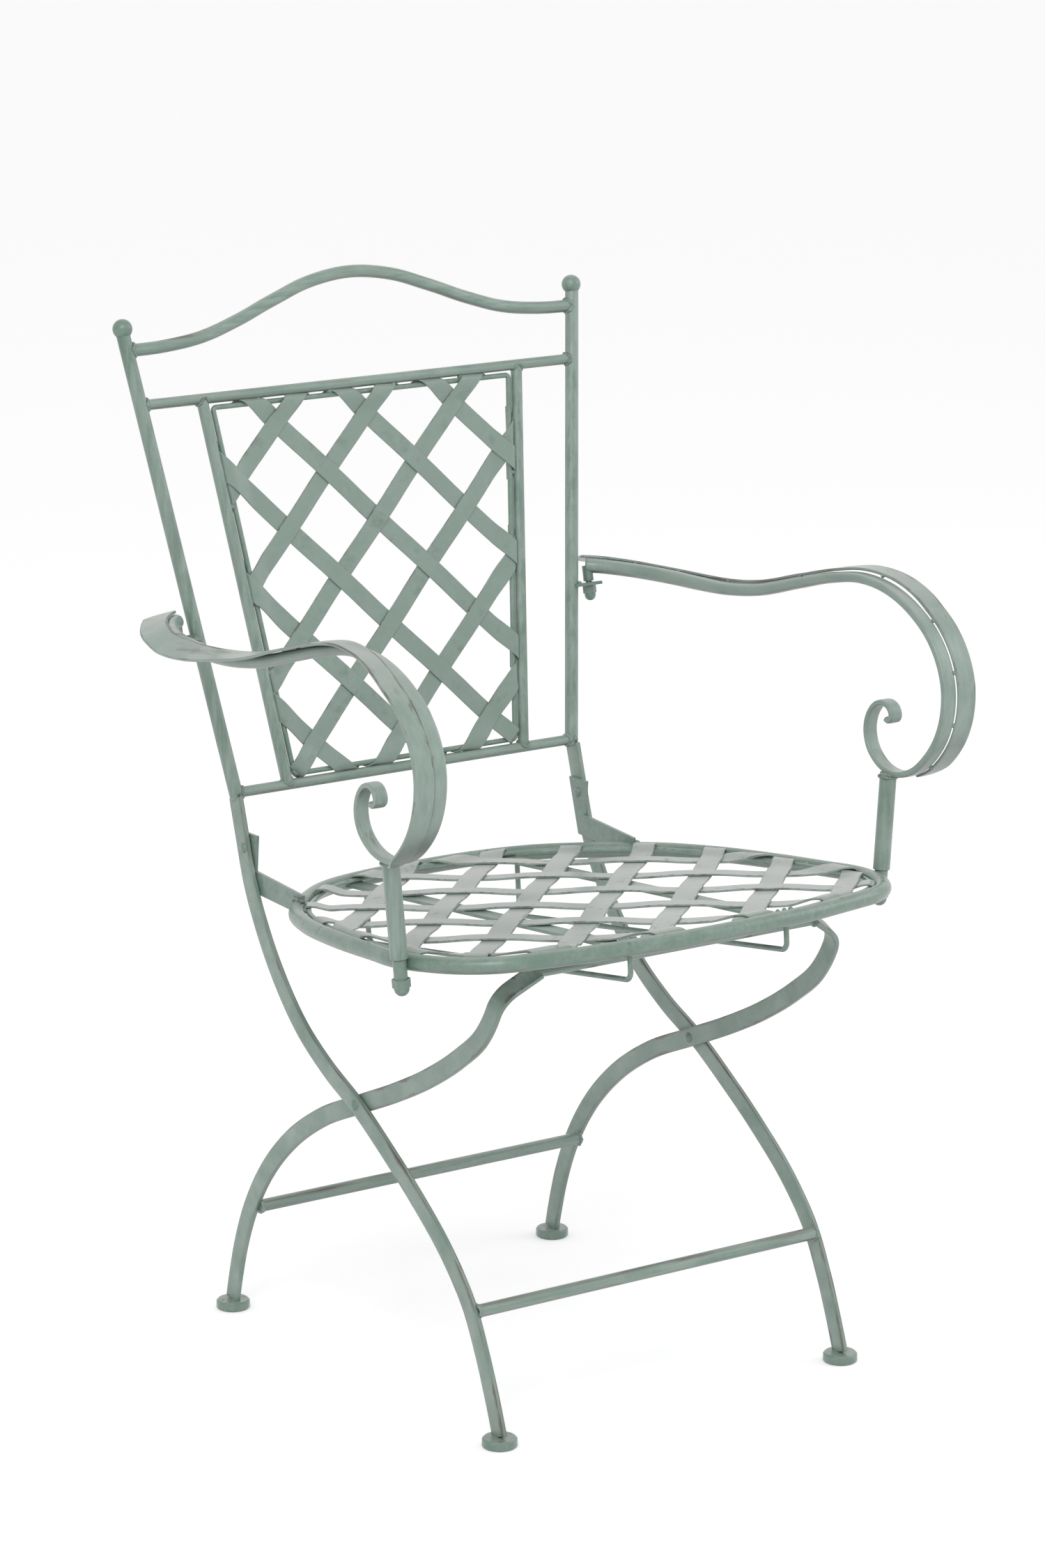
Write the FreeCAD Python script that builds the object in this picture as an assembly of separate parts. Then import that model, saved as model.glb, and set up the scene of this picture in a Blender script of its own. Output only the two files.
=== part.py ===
"""Folding garden armchair of welded steel rod, tube and flat bar.

Millimetres. +X is the sitter's left, +Y runs from the front to the back, +Z is up.
The origin is on the floor, under the middle of the chair.
"""
import FreeCAD, Part
import math
import os

from FreeCAD import Vector

# Back: two leaning uprights, three rails, two stiles and a woven panel
BACK_FOOT_Y = 195.0            # where the leaning back starts
BACK_FOOT_Z = 515.0
BACK_LEAN = 11.5               # degrees from vertical
BACK_HALF_LOW = 193.0          # upright axis to the middle, at the foot
BACK_HALF_HIGH = 254.0         # the same at the finials
FINIAL_RISE = 436.0            # along the lean, from the foot
UPPER_RAIL_RISE = 364.4
LOWER_RAIL_RISE = -2.4
CROWN_END_RISE = 415.6
CROWN_PEAK_RISE = 468.8
UPRIGHT_D = 13.0
UPRIGHT_TAIL = 8.0             # upright below the foot
FINIAL_D = 18.5
FINIAL_SEAT = 6.0              # from the ball's middle down to the upright's end
CROWN_D = 12.0
RAIL_D = 10.0
STILE_D = 11.0
STILE_HALF_LOW = 135.5
STILE_HALF_HIGH = 178.5
PANEL_ROD_D = 5.0
PANEL_ROD_GAP = 1.6            # light between the panel's rod and what it is tacked to
PANEL_CORNER_R = 3.2
BACK_STRAP_W = 18.0
BACK_STRAP_T = 1.5
BACK_PITCH = 50.4              # half the distance from strap to strap, along a row
BACK_WEAVE_RISE = 234.5        # height of the weave's middle crossing
TACK_D = 6.0

# Front legs: flat bars that carry on down from the uprights
BAR_W = 18.0
BAR_T = 5.0
FRONT_BAR_OUT = 0.3            # middle of the bar's thickness outside the upright's foot
PIVOT_Y = -7.0
PIVOT_Z = 260.0
FRONT_FOOT_Y = -234.0
REAR_FOOT_Y = 219.0
FOOT_D = 32.0
FOOT_H = 9.0
FOOT_CHAMFER = 1.5
STRETCHER_D = 12.0
FRONT_STRETCHER = (-196.0, 115.0)
REAR_STRETCHER = (172.0, 114.0)
BAR_GAP = 0.5                  # between the crossing bars
RIVET_D = 6.0
RIVET_HEAD_D = 10.0
RIVET_HEAD_H = 3.0
RIVET_CLEARANCE = 0.05         # radial, in the bar that turns

# Rear legs: the crossing bars, whose tops bend inwards to the slide bar
TOP_BEND_Y = -217.5
TOP_BEND_Z = 396.0
TOP_BEND_SLOPE = 64.0          # degrees above level, pointing forwards
TOP_BEND_R = 30.0
TOP_BEND_ANGLE = 55.0
TOP_BEND_STRAIGHT = 28.0
SLIDE_BAR_D = 9.0

# Seat: a rim of tube, an inner rod, and straps woven across
HINGE_Y = 177.0
HINGE_Z = 464.0
SEAT_Z = 430.7                 # rim axis above the floor at Y = 0
SEAT_TILT = 4.6                # degrees, down towards the back
RIM_D = 15.2
RIM_HALF = 255.5               # rim axis to the middle, where it is widest
SEAT_ROD_D = 5.0
SEAT_ROD_GAP = 1.0
WEAVE_LIFT = 2.4               # straps' middle above the rim's axis
SEAT_STRAP_W = 22.0
SEAT_STRAP_T = 2.0
SEAT_PITCH = 50.8
SEAT_WEAVE_Y = -17.7
WEAVE_GAP = 0.1                # between straps where they cross
BRACKET_T = 3.0
BRACKET_GAP = 0.5
BRACKET_TAB_W = 28.0
BRACKET_TOP = 13.0             # tab above the rivet
BRACKET_HEEL = 41.5            # tab's rear corner below the rivet
BRACKET_HEEL_IN = 15.5         # the same in front of the tab's rear top corner
BRACKET_BOTTOM = 46.5          # gusset's lower front corner below the rivet
BRACKET_KNEE = 21.0            # gusset's upper edge below the rivet, where it leaves the tab
BRACKET_KNEE_IN = 3.0          # the same behind the tab's front top corner
BRACKET_NOSE = 27.5            # the same at its front end
BRACKET_INTO_RIM = 7.3         # gusset's front end past the rim's axis
SLIDE_X = 86.5
SLIDE_RAIL_W = 18.0
SLIDE_RAIL_T = 3.0
WIRE_D = 5.0
LOOP_FRONT_Y = -280.0
LOOP_REAR_Y = 136.0
LOOP_FRONT_DROP = 32.0         # wire's axis under the straps' middle
LOOP_REAR_DROP = 57.0
LOOP_CORNER_R = 8.0

# Arms: a tube that is flattened into a scroll, with a band on its outer side
ARM_OUT = 24.2                 # arm's axis outside the rim's, along the front
ARM_D = 14.0
ARM_FLAT_W = 14.0
ARM_FLAT_T = 7.0
SCROLL_W = 13.7
SCROLL_T = 5.3
FLATTEN_FROM = 4.0             # counts along the arm's points
FLATTEN_TO = 15.0
SCROLL_FROM = 19.0
SCROLL_TO = 22.0
ARM_EDGE = 0.2                 # straight half-length between the arm's corners, where it is round
ARM_FLAT_EDGE = 1.5            # the same where it is flattened
ARM_STATIONS = 84              # sections along the arm
BAND_T = 2.6
BAND_GAP = 0.8                 # light between the band and the tube
BAND_PROUD = 1.7               # band's face in front of the tube's, beside it
BAND_WIDTHS = (34.0, 31.0, 29.0, 26.5, 25.0, 23.5, 22.5, 22.5, 22.5, 22.0, 21.5, 21.0, 20.7)
BAND_BANKS = (20.0, 27.0, 33.0, 40.0, 47.0, 45.0, 35.0, 17.0, 9.0, 2.0, 0.0)  # degrees, down outwards
BAND_INSIDE = 2.0              # band's inner edge past the tube's axis, where it lies on top
BAND_TAIL = 8.0                # band behind the tube's end
BESIDE_FROM = 9.5              # counts, where the band slides from the top to the outer side
BESIDE_TO = 13.0
BAND_TAPER_FROM = 19.4
BAND_TO = 20.3
BAND_TAPER = 0.55              # share of the width lost at the tip
BAND_TACKS = (1.0, 3.0, 5.0, 7.0, 9.0, 11.5, 13.5, 15.5, 17.5, 19.5)
BAND_TACK_IN = 1.5             # tack's middle inside the band's edge, where it lies on top
BAND_TACK_R = 1.7
BAND_STATIONS = 82             # sections along the band
POST_D = 15.8
POST_OUT = 13.3                # post's foot outside the rim's axis
POST_Y = -190.5
POST_FOOT_Z = 452.0
POST_TOP_IN = 4.2              # post's top from the scroll's lowest point, towards the middle
POST_TOP_BACK = 5.0            # the same, towards the back
POST_NECK = 1.0                # thinner length that stands in the sleeve
POST_NECK_D = 11.0
SLEEVE_D = 12.4
SLEEVE_H = 17.5
BOLT_D = 6.0
BOLT_IN_NUT = 8.8              # thread taken up by the nut
POST_NUT_D = 16.6
POST_NUT_H = 16.0
NUT_FLATS = 0.5                # share of a domed nut's height
NUT_CAP = 0.42                 # cap's radius as a share of the nut's width over corners
LUG_RISE = 145.0               # along the lean, from the foot
LUG_T = 3.0
LUG_W = 20.0
LUG_STUD_OUT = 21.2            # stud's axis outside the upright's
LUG_REACH = 9.0                # plate past the stud's axis
LUG_SLOT_CLEARANCE = 0.5
LUG_NUT_PLAY = 0.4             # plate to nut
LUG_SHOULDER_PLAY = 1.3        # plate to shoulder, which tips as the stud slides out
LUG_NUT_D = 13.0
LUG_NUT_H = 14.5
STUD_IN_NUT = 8.0
LUG_SHOULDER_D = 10.0
ARM_START_RISE = 17.7          # arm's axis above the lug plate's middle, along the lean

FRONT_BAR_X = BACK_HALF_LOW + FRONT_BAR_OUT
ARM_FRONT_X = RIM_HALF + ARM_OUT
POST_X = RIM_HALF + POST_OUT
nodes = {}


def unit(v):
    """The vector at length one."""
    return v * (1.0 / v.Length)


def back_point(x, rise, depth=0.0):
    """A point of the leaning back's plane, from its height along the lean."""
    lean = math.radians(BACK_LEAN)
    along = Vector(0, math.sin(lean), math.cos(lean))
    forward = Vector(0, -math.cos(lean), math.sin(lean))
    return Vector(x, BACK_FOOT_Y, BACK_FOOT_Z) + along * rise + forward * depth


def seat_point(x, y, lift=0.0):
    """A point of the seat's sloping plane, from its place along the slope."""
    tilt = math.radians(SEAT_TILT)
    along = Vector(0, math.cos(tilt), -math.sin(tilt))
    up = Vector(0, math.sin(tilt), math.cos(tilt))
    return Vector(x, 0, SEAT_Z) + along * y + up * lift


def rod(start, end, diameter):
    """A straight round bar from one point to another."""
    run = end - start
    return Part.makeCylinder(diameter / 2, run.Length, start, run)


def path_tangents(points, closed=False):
    """The direction at each point, of the circle through it and its neighbours."""
    count = len(points)
    tangents = [None] * count
    for i in range(count):
        if closed or 0 < i < count - 1:
            before = points[i] - points[i - 1]
            after = points[(i + 1) % count] - points[i]
            tangents[i] = unit(unit(before) * after.Length + unit(after) * before.Length)
    if not closed:
        for i, j in ((0, 1), (-1, -2)):
            chord = unit(points[j] - points[i])
            tangents[i] = chord * (2 * chord.dot(tangents[j])) - tangents[j]
    return tangents


def smooth_arcs(points, closed=False, start=None, end=None):
    """Arcs that join the points smoothly, two to a span, as (from, middle, to)."""
    tangents = path_tangents(points, closed)
    if start is not None:
        tangents[0] = unit(start)
    if end is not None:
        tangents[-1] = unit(end)
    arcs = []
    spans = len(points) if closed else len(points) - 1
    for i in range(spans):
        p, q = points[i], points[(i + 1) % len(points)]
        s, t = tangents[i], tangents[(i + 1) % len(points)]
        v = q - p
        a = 2 * (1 - s.dot(t))
        b = 2 * v.dot(s + t)
        c = -v.dot(v)
        reach = -c / b if abs(a) < 1e-9 else (-b + math.sqrt(b * b - 4 * a * c)) / (2 * a)
        corners = (p + s * reach, q - t * reach)
        join = (corners[0] + corners[1]) * 0.5
        for first, corner, last in ((p, corners[0], join), (join, corners[1], q)):
            middle = (first + last) * 0.5
            half = (last - first).Length / (2 * reach)
            arcs.append((first, middle + (corner - middle) * (half / (1 + half)), last))
    return arcs


def arc_edges(arcs):
    """Edges for the arcs, with a straight line where an arc is all but straight."""
    edges = []
    for first, middle, last in arcs:
        bow = (middle - (first + last) * 0.5).Length
        if bow < 1e-4:
            edges.append(Part.makeLine(first, last))
        else:
            edges.append(Part.Arc(first, middle, last).toShape())
    return edges


def swept_tube(edges, diameter):
    """A round bar along joined edges."""
    wire = Part.Wire(edges)
    first = edges[0]
    at = first.valueAt(first.FirstParameter)
    along = first.tangentAt(first.FirstParameter)
    ring = Part.Wire([Part.makeCircle(diameter / 2, at, along)])
    return wire.makePipeShell([ring], True, False)


def offset_arcs(arcs, normal, distance):
    """The arcs moved sideways in their plane, to the right of their direction."""
    moved = []
    for first, middle, last in arcs:
        bow = (middle - (first + last) * 0.5).Length
        if bow < 1e-4:
            side = unit((last - first).cross(normal)) * distance
            moved.append((first + side, middle + side, last + side))
            continue
        centre = Part.Arc(first, middle, last).toShape().Curve.Center
        turn = (middle - first).cross(last - middle).dot(normal)
        sign = 1.0 if turn > 0 else -1.0
        moved.append(tuple(p + unit(p - centre) * (sign * distance) for p in (first, middle, last)))
    return moved


def flat_bar(arcs, width, x_low, x_high):
    """A bar bent edgewise in an upright plane: the path widened, then given thickness."""
    normal = Vector(1, 0, 0)
    one = offset_arcs(arcs, normal, width / 2)
    other = offset_arcs(arcs, normal, -width / 2)
    back = [(last, middle, first) for first, middle, last in reversed(other)]
    outline = arc_edges(one)
    outline.append(Part.makeLine(one[-1][2], back[0][0]))
    outline.extend(arc_edges(back))
    outline.append(Part.makeLine(back[-1][2], one[0][0]))
    face = Part.Face(Part.Wire(outline))
    face.translate(Vector(x_low, 0, 0))
    return face.extrude(Vector(x_high - x_low, 0, 0))


def mirrored(shape):
    """The same piece on the other side of the chair."""
    return shape.mirror(Vector(0, 0, 0), Vector(1, 0, 0))


def add_pair(name, right_shape):
    """The right-hand piece, and its mirror image on the left."""
    nodes[name + "_right"] = right_shape
    nodes[name + "_left"] = mirrored(right_shape)


def upright_half(rise):
    """How far the upright's axis is from the middle at a height along the lean."""
    return BACK_HALF_LOW + (BACK_HALF_HIGH - BACK_HALF_LOW) * rise / FINIAL_RISE


def stile_half(rise):
    """The same for the stile's axis."""
    return STILE_HALF_LOW + (STILE_HALF_HIGH - STILE_HALF_LOW) * rise / UPPER_RAIL_RISE


# Back rails and uprights
upright = rod(back_point(upright_half(-UPRIGHT_TAIL), -UPRIGHT_TAIL),
              back_point(upright_half(FINIAL_RISE), FINIAL_RISE - FINIAL_SEAT), UPRIGHT_D)
finial = Part.makeSphere(FINIAL_D / 2, back_point(upright_half(FINIAL_RISE), FINIAL_RISE)).cut(upright)

# Half of the crown: shares of its end's distance from the middle, and of its height
crown_shape = ((1.0, 0.0), (0.836, 0.02), (0.677, 0.115), (0.518, 0.336), (0.358, 0.62), (0.179, 0.897))
crown_height = CROWN_PEAK_RISE - CROWN_END_RISE
crown_half = [(across * upright_half(CROWN_END_RISE), CROWN_END_RISE + up * crown_height)
              for across, up in crown_shape]
crown_points = [back_point(-x, rise) for x, rise in crown_half]
crown_points.append(back_point(0.0, CROWN_PEAK_RISE))
crown_points.extend(back_point(x, rise) for x, rise in reversed(crown_half))
crown = swept_tube(arc_edges(smooth_arcs(crown_points, start=Vector(1, 0, 0), end=Vector(1, 0, 0))),
                   CROWN_D)


def cross_rail(rise):
    """A straight rail between the uprights' axes."""
    half = upright_half(rise)
    return rod(back_point(-half, rise), back_point(half, rise), RAIL_D)


both_uprights = upright.fuse(mirrored(upright))
upper_rail = cross_rail(UPPER_RAIL_RISE)
lower_rail = cross_rail(LOWER_RAIL_RISE)
stile = rod(back_point(stile_half(LOWER_RAIL_RISE), LOWER_RAIL_RISE),
            back_point(stile_half(UPPER_RAIL_RISE), UPPER_RAIL_RISE), STILE_D)
stile = stile.cut(upper_rail).cut(lower_rail)
stile = max(stile.Solids, key=lambda solid: solid.Volume)
add_pair("upright", upright)
add_pair("finial", finial)
add_pair("stile", stile)
nodes["crown_rail"] = max(crown.cut(both_uprights).Solids, key=lambda solid: solid.Volume)
nodes["upper_rail"] = max(upper_rail.cut(both_uprights).Solids, key=lambda solid: solid.Volume)
nodes["lower_rail"] = max(lower_rail.cut(both_uprights).Solids, key=lambda solid: solid.Volume)

# The panel's thin rod, bent to a frame with round corners
rod_edge = RAIL_D / 2 + PANEL_ROD_GAP + PANEL_ROD_D / 2
rod_low = LOWER_RAIL_RISE + rod_edge
rod_high = UPPER_RAIL_RISE - rod_edge
rod_inset = STILE_D / 2 + PANEL_ROD_GAP + PANEL_ROD_D / 2


def panel_half(rise, inset):
    """How far the panel's edge is from the middle, inside the stile by the inset."""
    return stile_half(rise) - inset


def rounded_loop(corners, radius):
    """Closed edges through the corners, each rounded by an arc."""
    edges = []
    count = len(corners)
    ends = []
    for i in range(count):
        corner = corners[i]
        into = unit(corners[i - 1] - corner)
        out = unit(corners[(i + 1) % count] - corner)
        half = into.getAngle(out) / 2
        reach = radius / math.tan(half)
        bisector = unit(into + out)
        middle = corner + bisector * (radius / math.sin(half) - radius)
        ends.append((corner + into * reach, middle, corner + out * reach))
    for i in range(count):
        first, middle, last = ends[i]
        edges.append(Part.Arc(first, middle, last).toShape())
        edges.append(Part.makeLine(last, ends[(i + 1) % count][0]))
    return edges


panel_corners = [back_point(-panel_half(rod_low, rod_inset), rod_low),
                 back_point(panel_half(rod_low, rod_inset), rod_low),
                 back_point(panel_half(rod_high, rod_inset), rod_high),
                 back_point(-panel_half(rod_high, rod_inset), rod_high)]
panel_rod = swept_tube(rounded_loop(panel_corners, PANEL_CORNER_R), PANEL_ROD_D)
tack_places = [(-118.0, rod_high, 1), (-38.0, rod_high, 1), (34.0, rod_high, 1), (112.0, rod_high, 1),
               (-60.0, rod_low, -1), (62.0, rod_low, -1)]
tack_offset = (PANEL_ROD_D + PANEL_ROD_GAP) / 2
tacked_to = upper_rail.fuse([lower_rail, stile, mirrored(stile)])
tacks = []
for x, rise, side in tack_places:
    tacks.append(Part.makeSphere(TACK_D / 2, back_point(x, rise + side * tack_offset)))
for rise in (104.0, 262.0):
    for side in (-1.0, 1.0):
        x = side * (panel_half(rise, rod_inset) + tack_offset)
        tacks.append(Part.makeSphere(TACK_D / 2, back_point(x, rise)))
nodes["panel_rod"] = panel_rod.fuse(tacks).cut(tacked_to)


def strap_solid(place, offset, rising, pitch, width, thickness, reach):
    """One woven strap: a zigzag in its thickness, flat over and under each crossing."""
    slope = 1.0 if rising else -1.0
    lift = (thickness + WEAVE_GAP) / 2
    step = pitch * math.sqrt(2.0)
    count = int(reach / step) + 1
    flat_half = width / 2 + 1.0
    line = []
    for k in range(-count, count + 1):
        along = k * step
        over = 1.0 if k % 2 == 0 else -1.0
        height = lift * over * slope
        line.append((along - flat_half, height))
        line.append((along + flat_half, height))
    across = (-slope * math.sqrt(0.5), math.sqrt(0.5))

    def corner(along, height, side):
        x = along * math.sqrt(0.5) + side * across[0]
        y = slope * along * math.sqrt(0.5) + side * across[1] + offset
        return place(x, y, height)

    top = [corner(a, h + thickness / 2, -width / 2) for a, h in line]
    bottom = [corner(a, h - thickness / 2, -width / 2) for a, h in reversed(line)]
    outline = Part.makePolygon(top + bottom + [top[0]])
    sweep = corner(0, 0, width / 2) - corner(0, 0, -width / 2)
    return Part.Face(outline).extrude(sweep)


def weave(place, middle, pitch, width, thickness, indexes, reach, boundary, frame_rod):
    """Rising and falling straps, trimmed to the boundary and to the rod that holds them."""
    groups = {}
    for name, rising in (("rising", True), ("falling", False)):
        solids = []
        for i in indexes:
            strap = strap_solid(place, middle + 2 * pitch * i, rising, pitch, width, thickness, reach)
            # The zigzag starts on a crossing of the middle column
            trimmed = strap.common(boundary).cut(frame_rod)
            solids.append(max(trimmed.Solids, key=lambda solid: solid.Volume))
        groups[name] = Part.makeCompound(solids)
    return groups


panel_trim = Part.Face(Part.makePolygon(panel_corners + [panel_corners[0]]))
trim_depth = unit(back_point(0, 0, 1.0) - back_point(0, 0, 0.0)) * 20.0
panel_trim.translate(trim_depth * -0.5)
panel_space = panel_trim.extrude(trim_depth)
back_straps = weave(back_point, BACK_WEAVE_RISE, BACK_PITCH, BACK_STRAP_W, BACK_STRAP_T,
                    range(-3, 3), 460.0, panel_space, panel_rod)
for name, straps in back_straps.items():
    nodes["back_straps_" + name] = straps

# Front legs
front_path = [Vector(0, y, z) for y, z in (
    (BACK_FOOT_Y - 2.0, BACK_FOOT_Z - 6.0), (184.0, 478.0), (168.3, 428.0), (147.5, 388.0),
    (117.5, 346.0), (84.0, 312.0), (40.0, 283.0), (PIVOT_Y, PIVOT_Z), (-54.0, 231.0),
    (-105.0, 196.0), (-154.0, 156.0), (-187.0, 118.0), (-208.0, 77.0), (-223.0, 40.0),
    (FRONT_FOOT_Y, FOOT_H))]
front_arcs = smooth_arcs(front_path)
front_low = FRONT_BAR_X - BAR_T / 2
front_high = FRONT_BAR_X + BAR_T / 2
front_leg = flat_bar(front_arcs, BAR_W, front_low, front_high)
floor_cut = Part.makeBox(1000, 1000, FOOT_H, Vector(-500, -500, 0))
front_leg = front_leg.cut(floor_cut).cut(upright).cut(lower_rail)
front_leg = max(front_leg.Solids, key=lambda solid: solid.Volume)

# Rear legs, edgewise up to the bend and then bent flatwise inwards
rear_path = [Vector(0, y, z) for y, z in (
    (REAR_FOOT_Y, FOOT_H), (212.0, 38.0), (203.0, 68.0), (183.0, 113.0), (155.0, 154.0),
    (113.0, 195.0), (58.0, 231.0), (PIVOT_Y, PIVOT_Z), (-62.0, 284.0), (-118.0, 312.0),
    (-166.0, 342.0), (-199.0, 368.5), (TOP_BEND_Y, TOP_BEND_Z))]
bend_slope = math.radians(TOP_BEND_SLOPE)
bend_forward = Vector(0, -math.cos(bend_slope), math.sin(bend_slope))
rear_arcs = smooth_arcs(rear_path, end=bend_forward)
rear_high = front_low - BAR_GAP
rear_low = rear_high - BAR_T
rear_bar_x = (rear_low + rear_high) / 2
rear_leg = flat_bar(rear_arcs, BAR_W, rear_low, rear_high).cut(floor_cut)

bend_start = Vector(rear_bar_x, TOP_BEND_Y, TOP_BEND_Z)
bend_angle = math.radians(TOP_BEND_ANGLE)


def bend_point(angle, out=0.0):
    """A point on the flatwise bend; out is towards the bar's outer face."""
    radius = TOP_BEND_R + out
    return (bend_start + Vector(-TOP_BEND_R, 0, 0) + Vector(radius * math.cos(angle), 0, 0)
            + bend_forward * (radius * math.sin(angle)))


run = Vector(-math.sin(bend_angle), 0, 0) + bend_forward * math.cos(bend_angle)
tip_half = BAR_T / 2
outer_end = bend_point(bend_angle, tip_half)
inner_end = bend_point(bend_angle, -tip_half)
tip_outline = [
    Part.Arc(bend_point(0, tip_half), bend_point(bend_angle / 2, tip_half), outer_end).toShape(),
    Part.makeLine(outer_end, outer_end + run * TOP_BEND_STRAIGHT),
    Part.makeLine(outer_end + run * TOP_BEND_STRAIGHT, inner_end + run * TOP_BEND_STRAIGHT),
    Part.makeLine(inner_end + run * TOP_BEND_STRAIGHT, inner_end),
    Part.Arc(inner_end, bend_point(bend_angle / 2, -tip_half), bend_point(0, -tip_half)).toShape(),
    Part.makeLine(bend_point(0, -tip_half), bend_point(0, tip_half))]
bar_across = unit(bend_forward.cross(Vector(1, 0, 0)))
tip_face = Part.Face(Part.Wire(tip_outline))
tip_face.translate(bar_across * (-BAR_W / 2))
rear_leg = rear_leg.fuse(tip_face.extrude(bar_across * BAR_W))
tip_middle = bend_point(bend_angle) + run * TOP_BEND_STRAIGHT
slide_end = tip_middle - run * (SLIDE_BAR_D / 2)

slide_bar = rod(Vector(-slide_end.x, slide_end.y, slide_end.z), slide_end, SLIDE_BAR_D)
rear_leg_pair = rear_leg.fuse(mirrored(rear_leg))
slide_bar = max(slide_bar.cut(rear_leg_pair).Solids, key=lambda solid: solid.Volume)
nodes["slide_bar"] = slide_bar


def stretcher(place, half):
    """A round bar along X between the legs' inner faces."""
    y, z = place
    return rod(Vector(-half, y, z), Vector(half, y, z), STRETCHER_D)


nodes["front_stretcher"] = stretcher(FRONT_STRETCHER, front_low)
nodes["rear_stretcher"] = stretcher(REAR_STRETCHER, rear_low)


def foot(x, y):
    """A round pad with its edges taken off."""
    pad = Part.makeCylinder(FOOT_D / 2, FOOT_H, Vector(x, y, 0))
    rims = [edge for edge in pad.Edges if isinstance(edge.Curve, Part.Circle)]
    return pad.makeChamfer(FOOT_CHAMFER, rims)


add_pair("front_foot", foot(FRONT_BAR_X, FRONT_FOOT_Y))
add_pair("rear_foot", foot(rear_bar_x, REAR_FOOT_Y))


def rivet(y, z, low, high):
    """A shank through both bars, with a domed head outside each."""
    radius = RIVET_HEAD_D / 2
    dome = (radius * radius + RIVET_HEAD_H * RIVET_HEAD_H) / (2 * RIVET_HEAD_H)
    turn = math.asin(radius / dome) / 2

    def at(x, distance):
        return Vector(x, y, z + distance)

    def halfway(face, side):
        return at(face + side * (RIVET_HEAD_H - dome + dome * math.cos(turn)), dome * math.sin(turn))

    top = at(high + RIVET_HEAD_H, 0.0)
    bottom = at(low - RIVET_HEAD_H, 0.0)
    outline = [Part.Arc(bottom, halfway(low, -1.0), at(low, radius)).toShape(),
               Part.makeLine(at(low, radius), at(low, RIVET_D / 2)),
               Part.makeLine(at(low, RIVET_D / 2), at(high, RIVET_D / 2)),
               Part.makeLine(at(high, RIVET_D / 2), at(high, radius)),
               Part.Arc(at(high, radius), halfway(high, 1.0), top).toShape(),
               Part.makeLine(top, bottom)]
    face = Part.Face(Part.Wire(outline))
    return face.revolve(bottom, Vector(1, 0, 0), 360.0)


def bore(y, z, clearance):
    """A hole along X for a rivet."""
    reach = 60.0
    start = Vector(FRONT_BAR_X - reach, y, z)
    return rod(start, start + Vector(2 * reach, 0, 0), RIVET_D + 2 * clearance)


bracket_high = front_low - BRACKET_GAP
bracket_low = bracket_high - BRACKET_T
leg_rivet = rivet(PIVOT_Y, PIVOT_Z, rear_low - RIVET_CLEARANCE * 4, front_high)
hinge_rivet = rivet(HINGE_Y, HINGE_Z, bracket_low - RIVET_CLEARANCE * 4, front_high)
nodes["leg_rivets"] = Part.makeCompound([leg_rivet, mirrored(leg_rivet)])
nodes["hinge_rivets"] = Part.makeCompound([hinge_rivet, mirrored(hinge_rivet)])
add_pair("front_leg", front_leg.cut(leg_rivet).cut(hinge_rivet))
add_pair("rear_leg", rear_leg.cut(bore(PIVOT_Y, PIVOT_Z, RIVET_CLEARANCE)))

# Seat rim and the rod inside it. Half of the rim: shares of its half width, and y
rim_shape = ((0.0, 175.0), (0.235, 172.0), (0.462, 155.5), (0.654, 117.0), (0.806, 71.0), (0.9, 15.0),
             (0.953, -44.0), (0.988, -112.0), (1.0, -186.0), (0.885, -245.0), (0.568, -275.0),
             (0.266, -285.5), (0.0, -288.0))
rim_half = [(share * RIM_HALF, y) for share, y in rim_shape]
tilt_cos = math.cos(math.radians(SEAT_TILT))
rim_points = [seat_point(x, y / tilt_cos) for x, y in rim_half]
rim_points.extend(seat_point(-x, y / tilt_cos) for x, y in reversed(rim_half[1:-1]))
rim_arcs = smooth_arcs(rim_points, closed=True)
seat_up = unit(seat_point(0, 0, 1.0) - seat_point(0, 0, 0.0))
rim = swept_tube(arc_edges(rim_arcs), RIM_D)
rod_in = RIM_D / 2 + SEAT_ROD_GAP + SEAT_ROD_D / 2
rod_arcs = [tuple(p + seat_up * WEAVE_LIFT for p in arc)
            for arc in offset_arcs(rim_arcs, seat_up, rod_in)]
seat_rod = swept_tube(arc_edges(rod_arcs), SEAT_ROD_D)
rim_tacks = []
for x, y in (rim_half[0], rim_half[4], rim_half[7], rim_half[10], rim_half[12]):
    for side in (-1.0, 1.0) if x else (1.0,):
        at = seat_point(side * x, y / tilt_cos, WEAVE_LIFT)
        inwards = seat_point(0.0, -50.0, WEAVE_LIFT) - at
        rim_tacks.append(Part.makeSphere(TACK_D / 2, at + unit(inwards) * (rod_in - TACK_D / 2)))
nodes["seat_rim"] = rim
nodes["seat_rod"] = seat_rod.fuse(rim_tacks).cut(rim)


def seat_place(x, y, height):
    """The weave's own coordinates: across, along the slope, and up from the straps' middle."""
    return seat_point(x, y, WEAVE_LIFT + height)


trim_arcs = [tuple(p - seat_up * 20.0 for p in arc) for arc in rod_arcs]
seat_trim = Part.Face(Part.Wire(arc_edges(trim_arcs)))
seat_space = seat_trim.extrude(seat_up * 40.0)
seat_straps = weave(seat_place, SEAT_WEAVE_Y, SEAT_PITCH, SEAT_STRAP_W, SEAT_STRAP_T,
                    range(-4, 3), 620.0, seat_space, seat_rod)
for name, straps in seat_straps.items():
    nodes["seat_straps_" + name] = straps

# Seat brackets: plates that turn on the legs' inner faces and run forward into the rim


def rim_rear_y(x):
    """Where the rim's rear half is, at a distance from the middle."""
    for (x0, y0), (x1, y1) in zip(rim_half, rim_half[1:]):
        if x0 <= x <= x1:
            return y0 + (y1 - y0) * (x - x0) / (x1 - x0)


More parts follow.
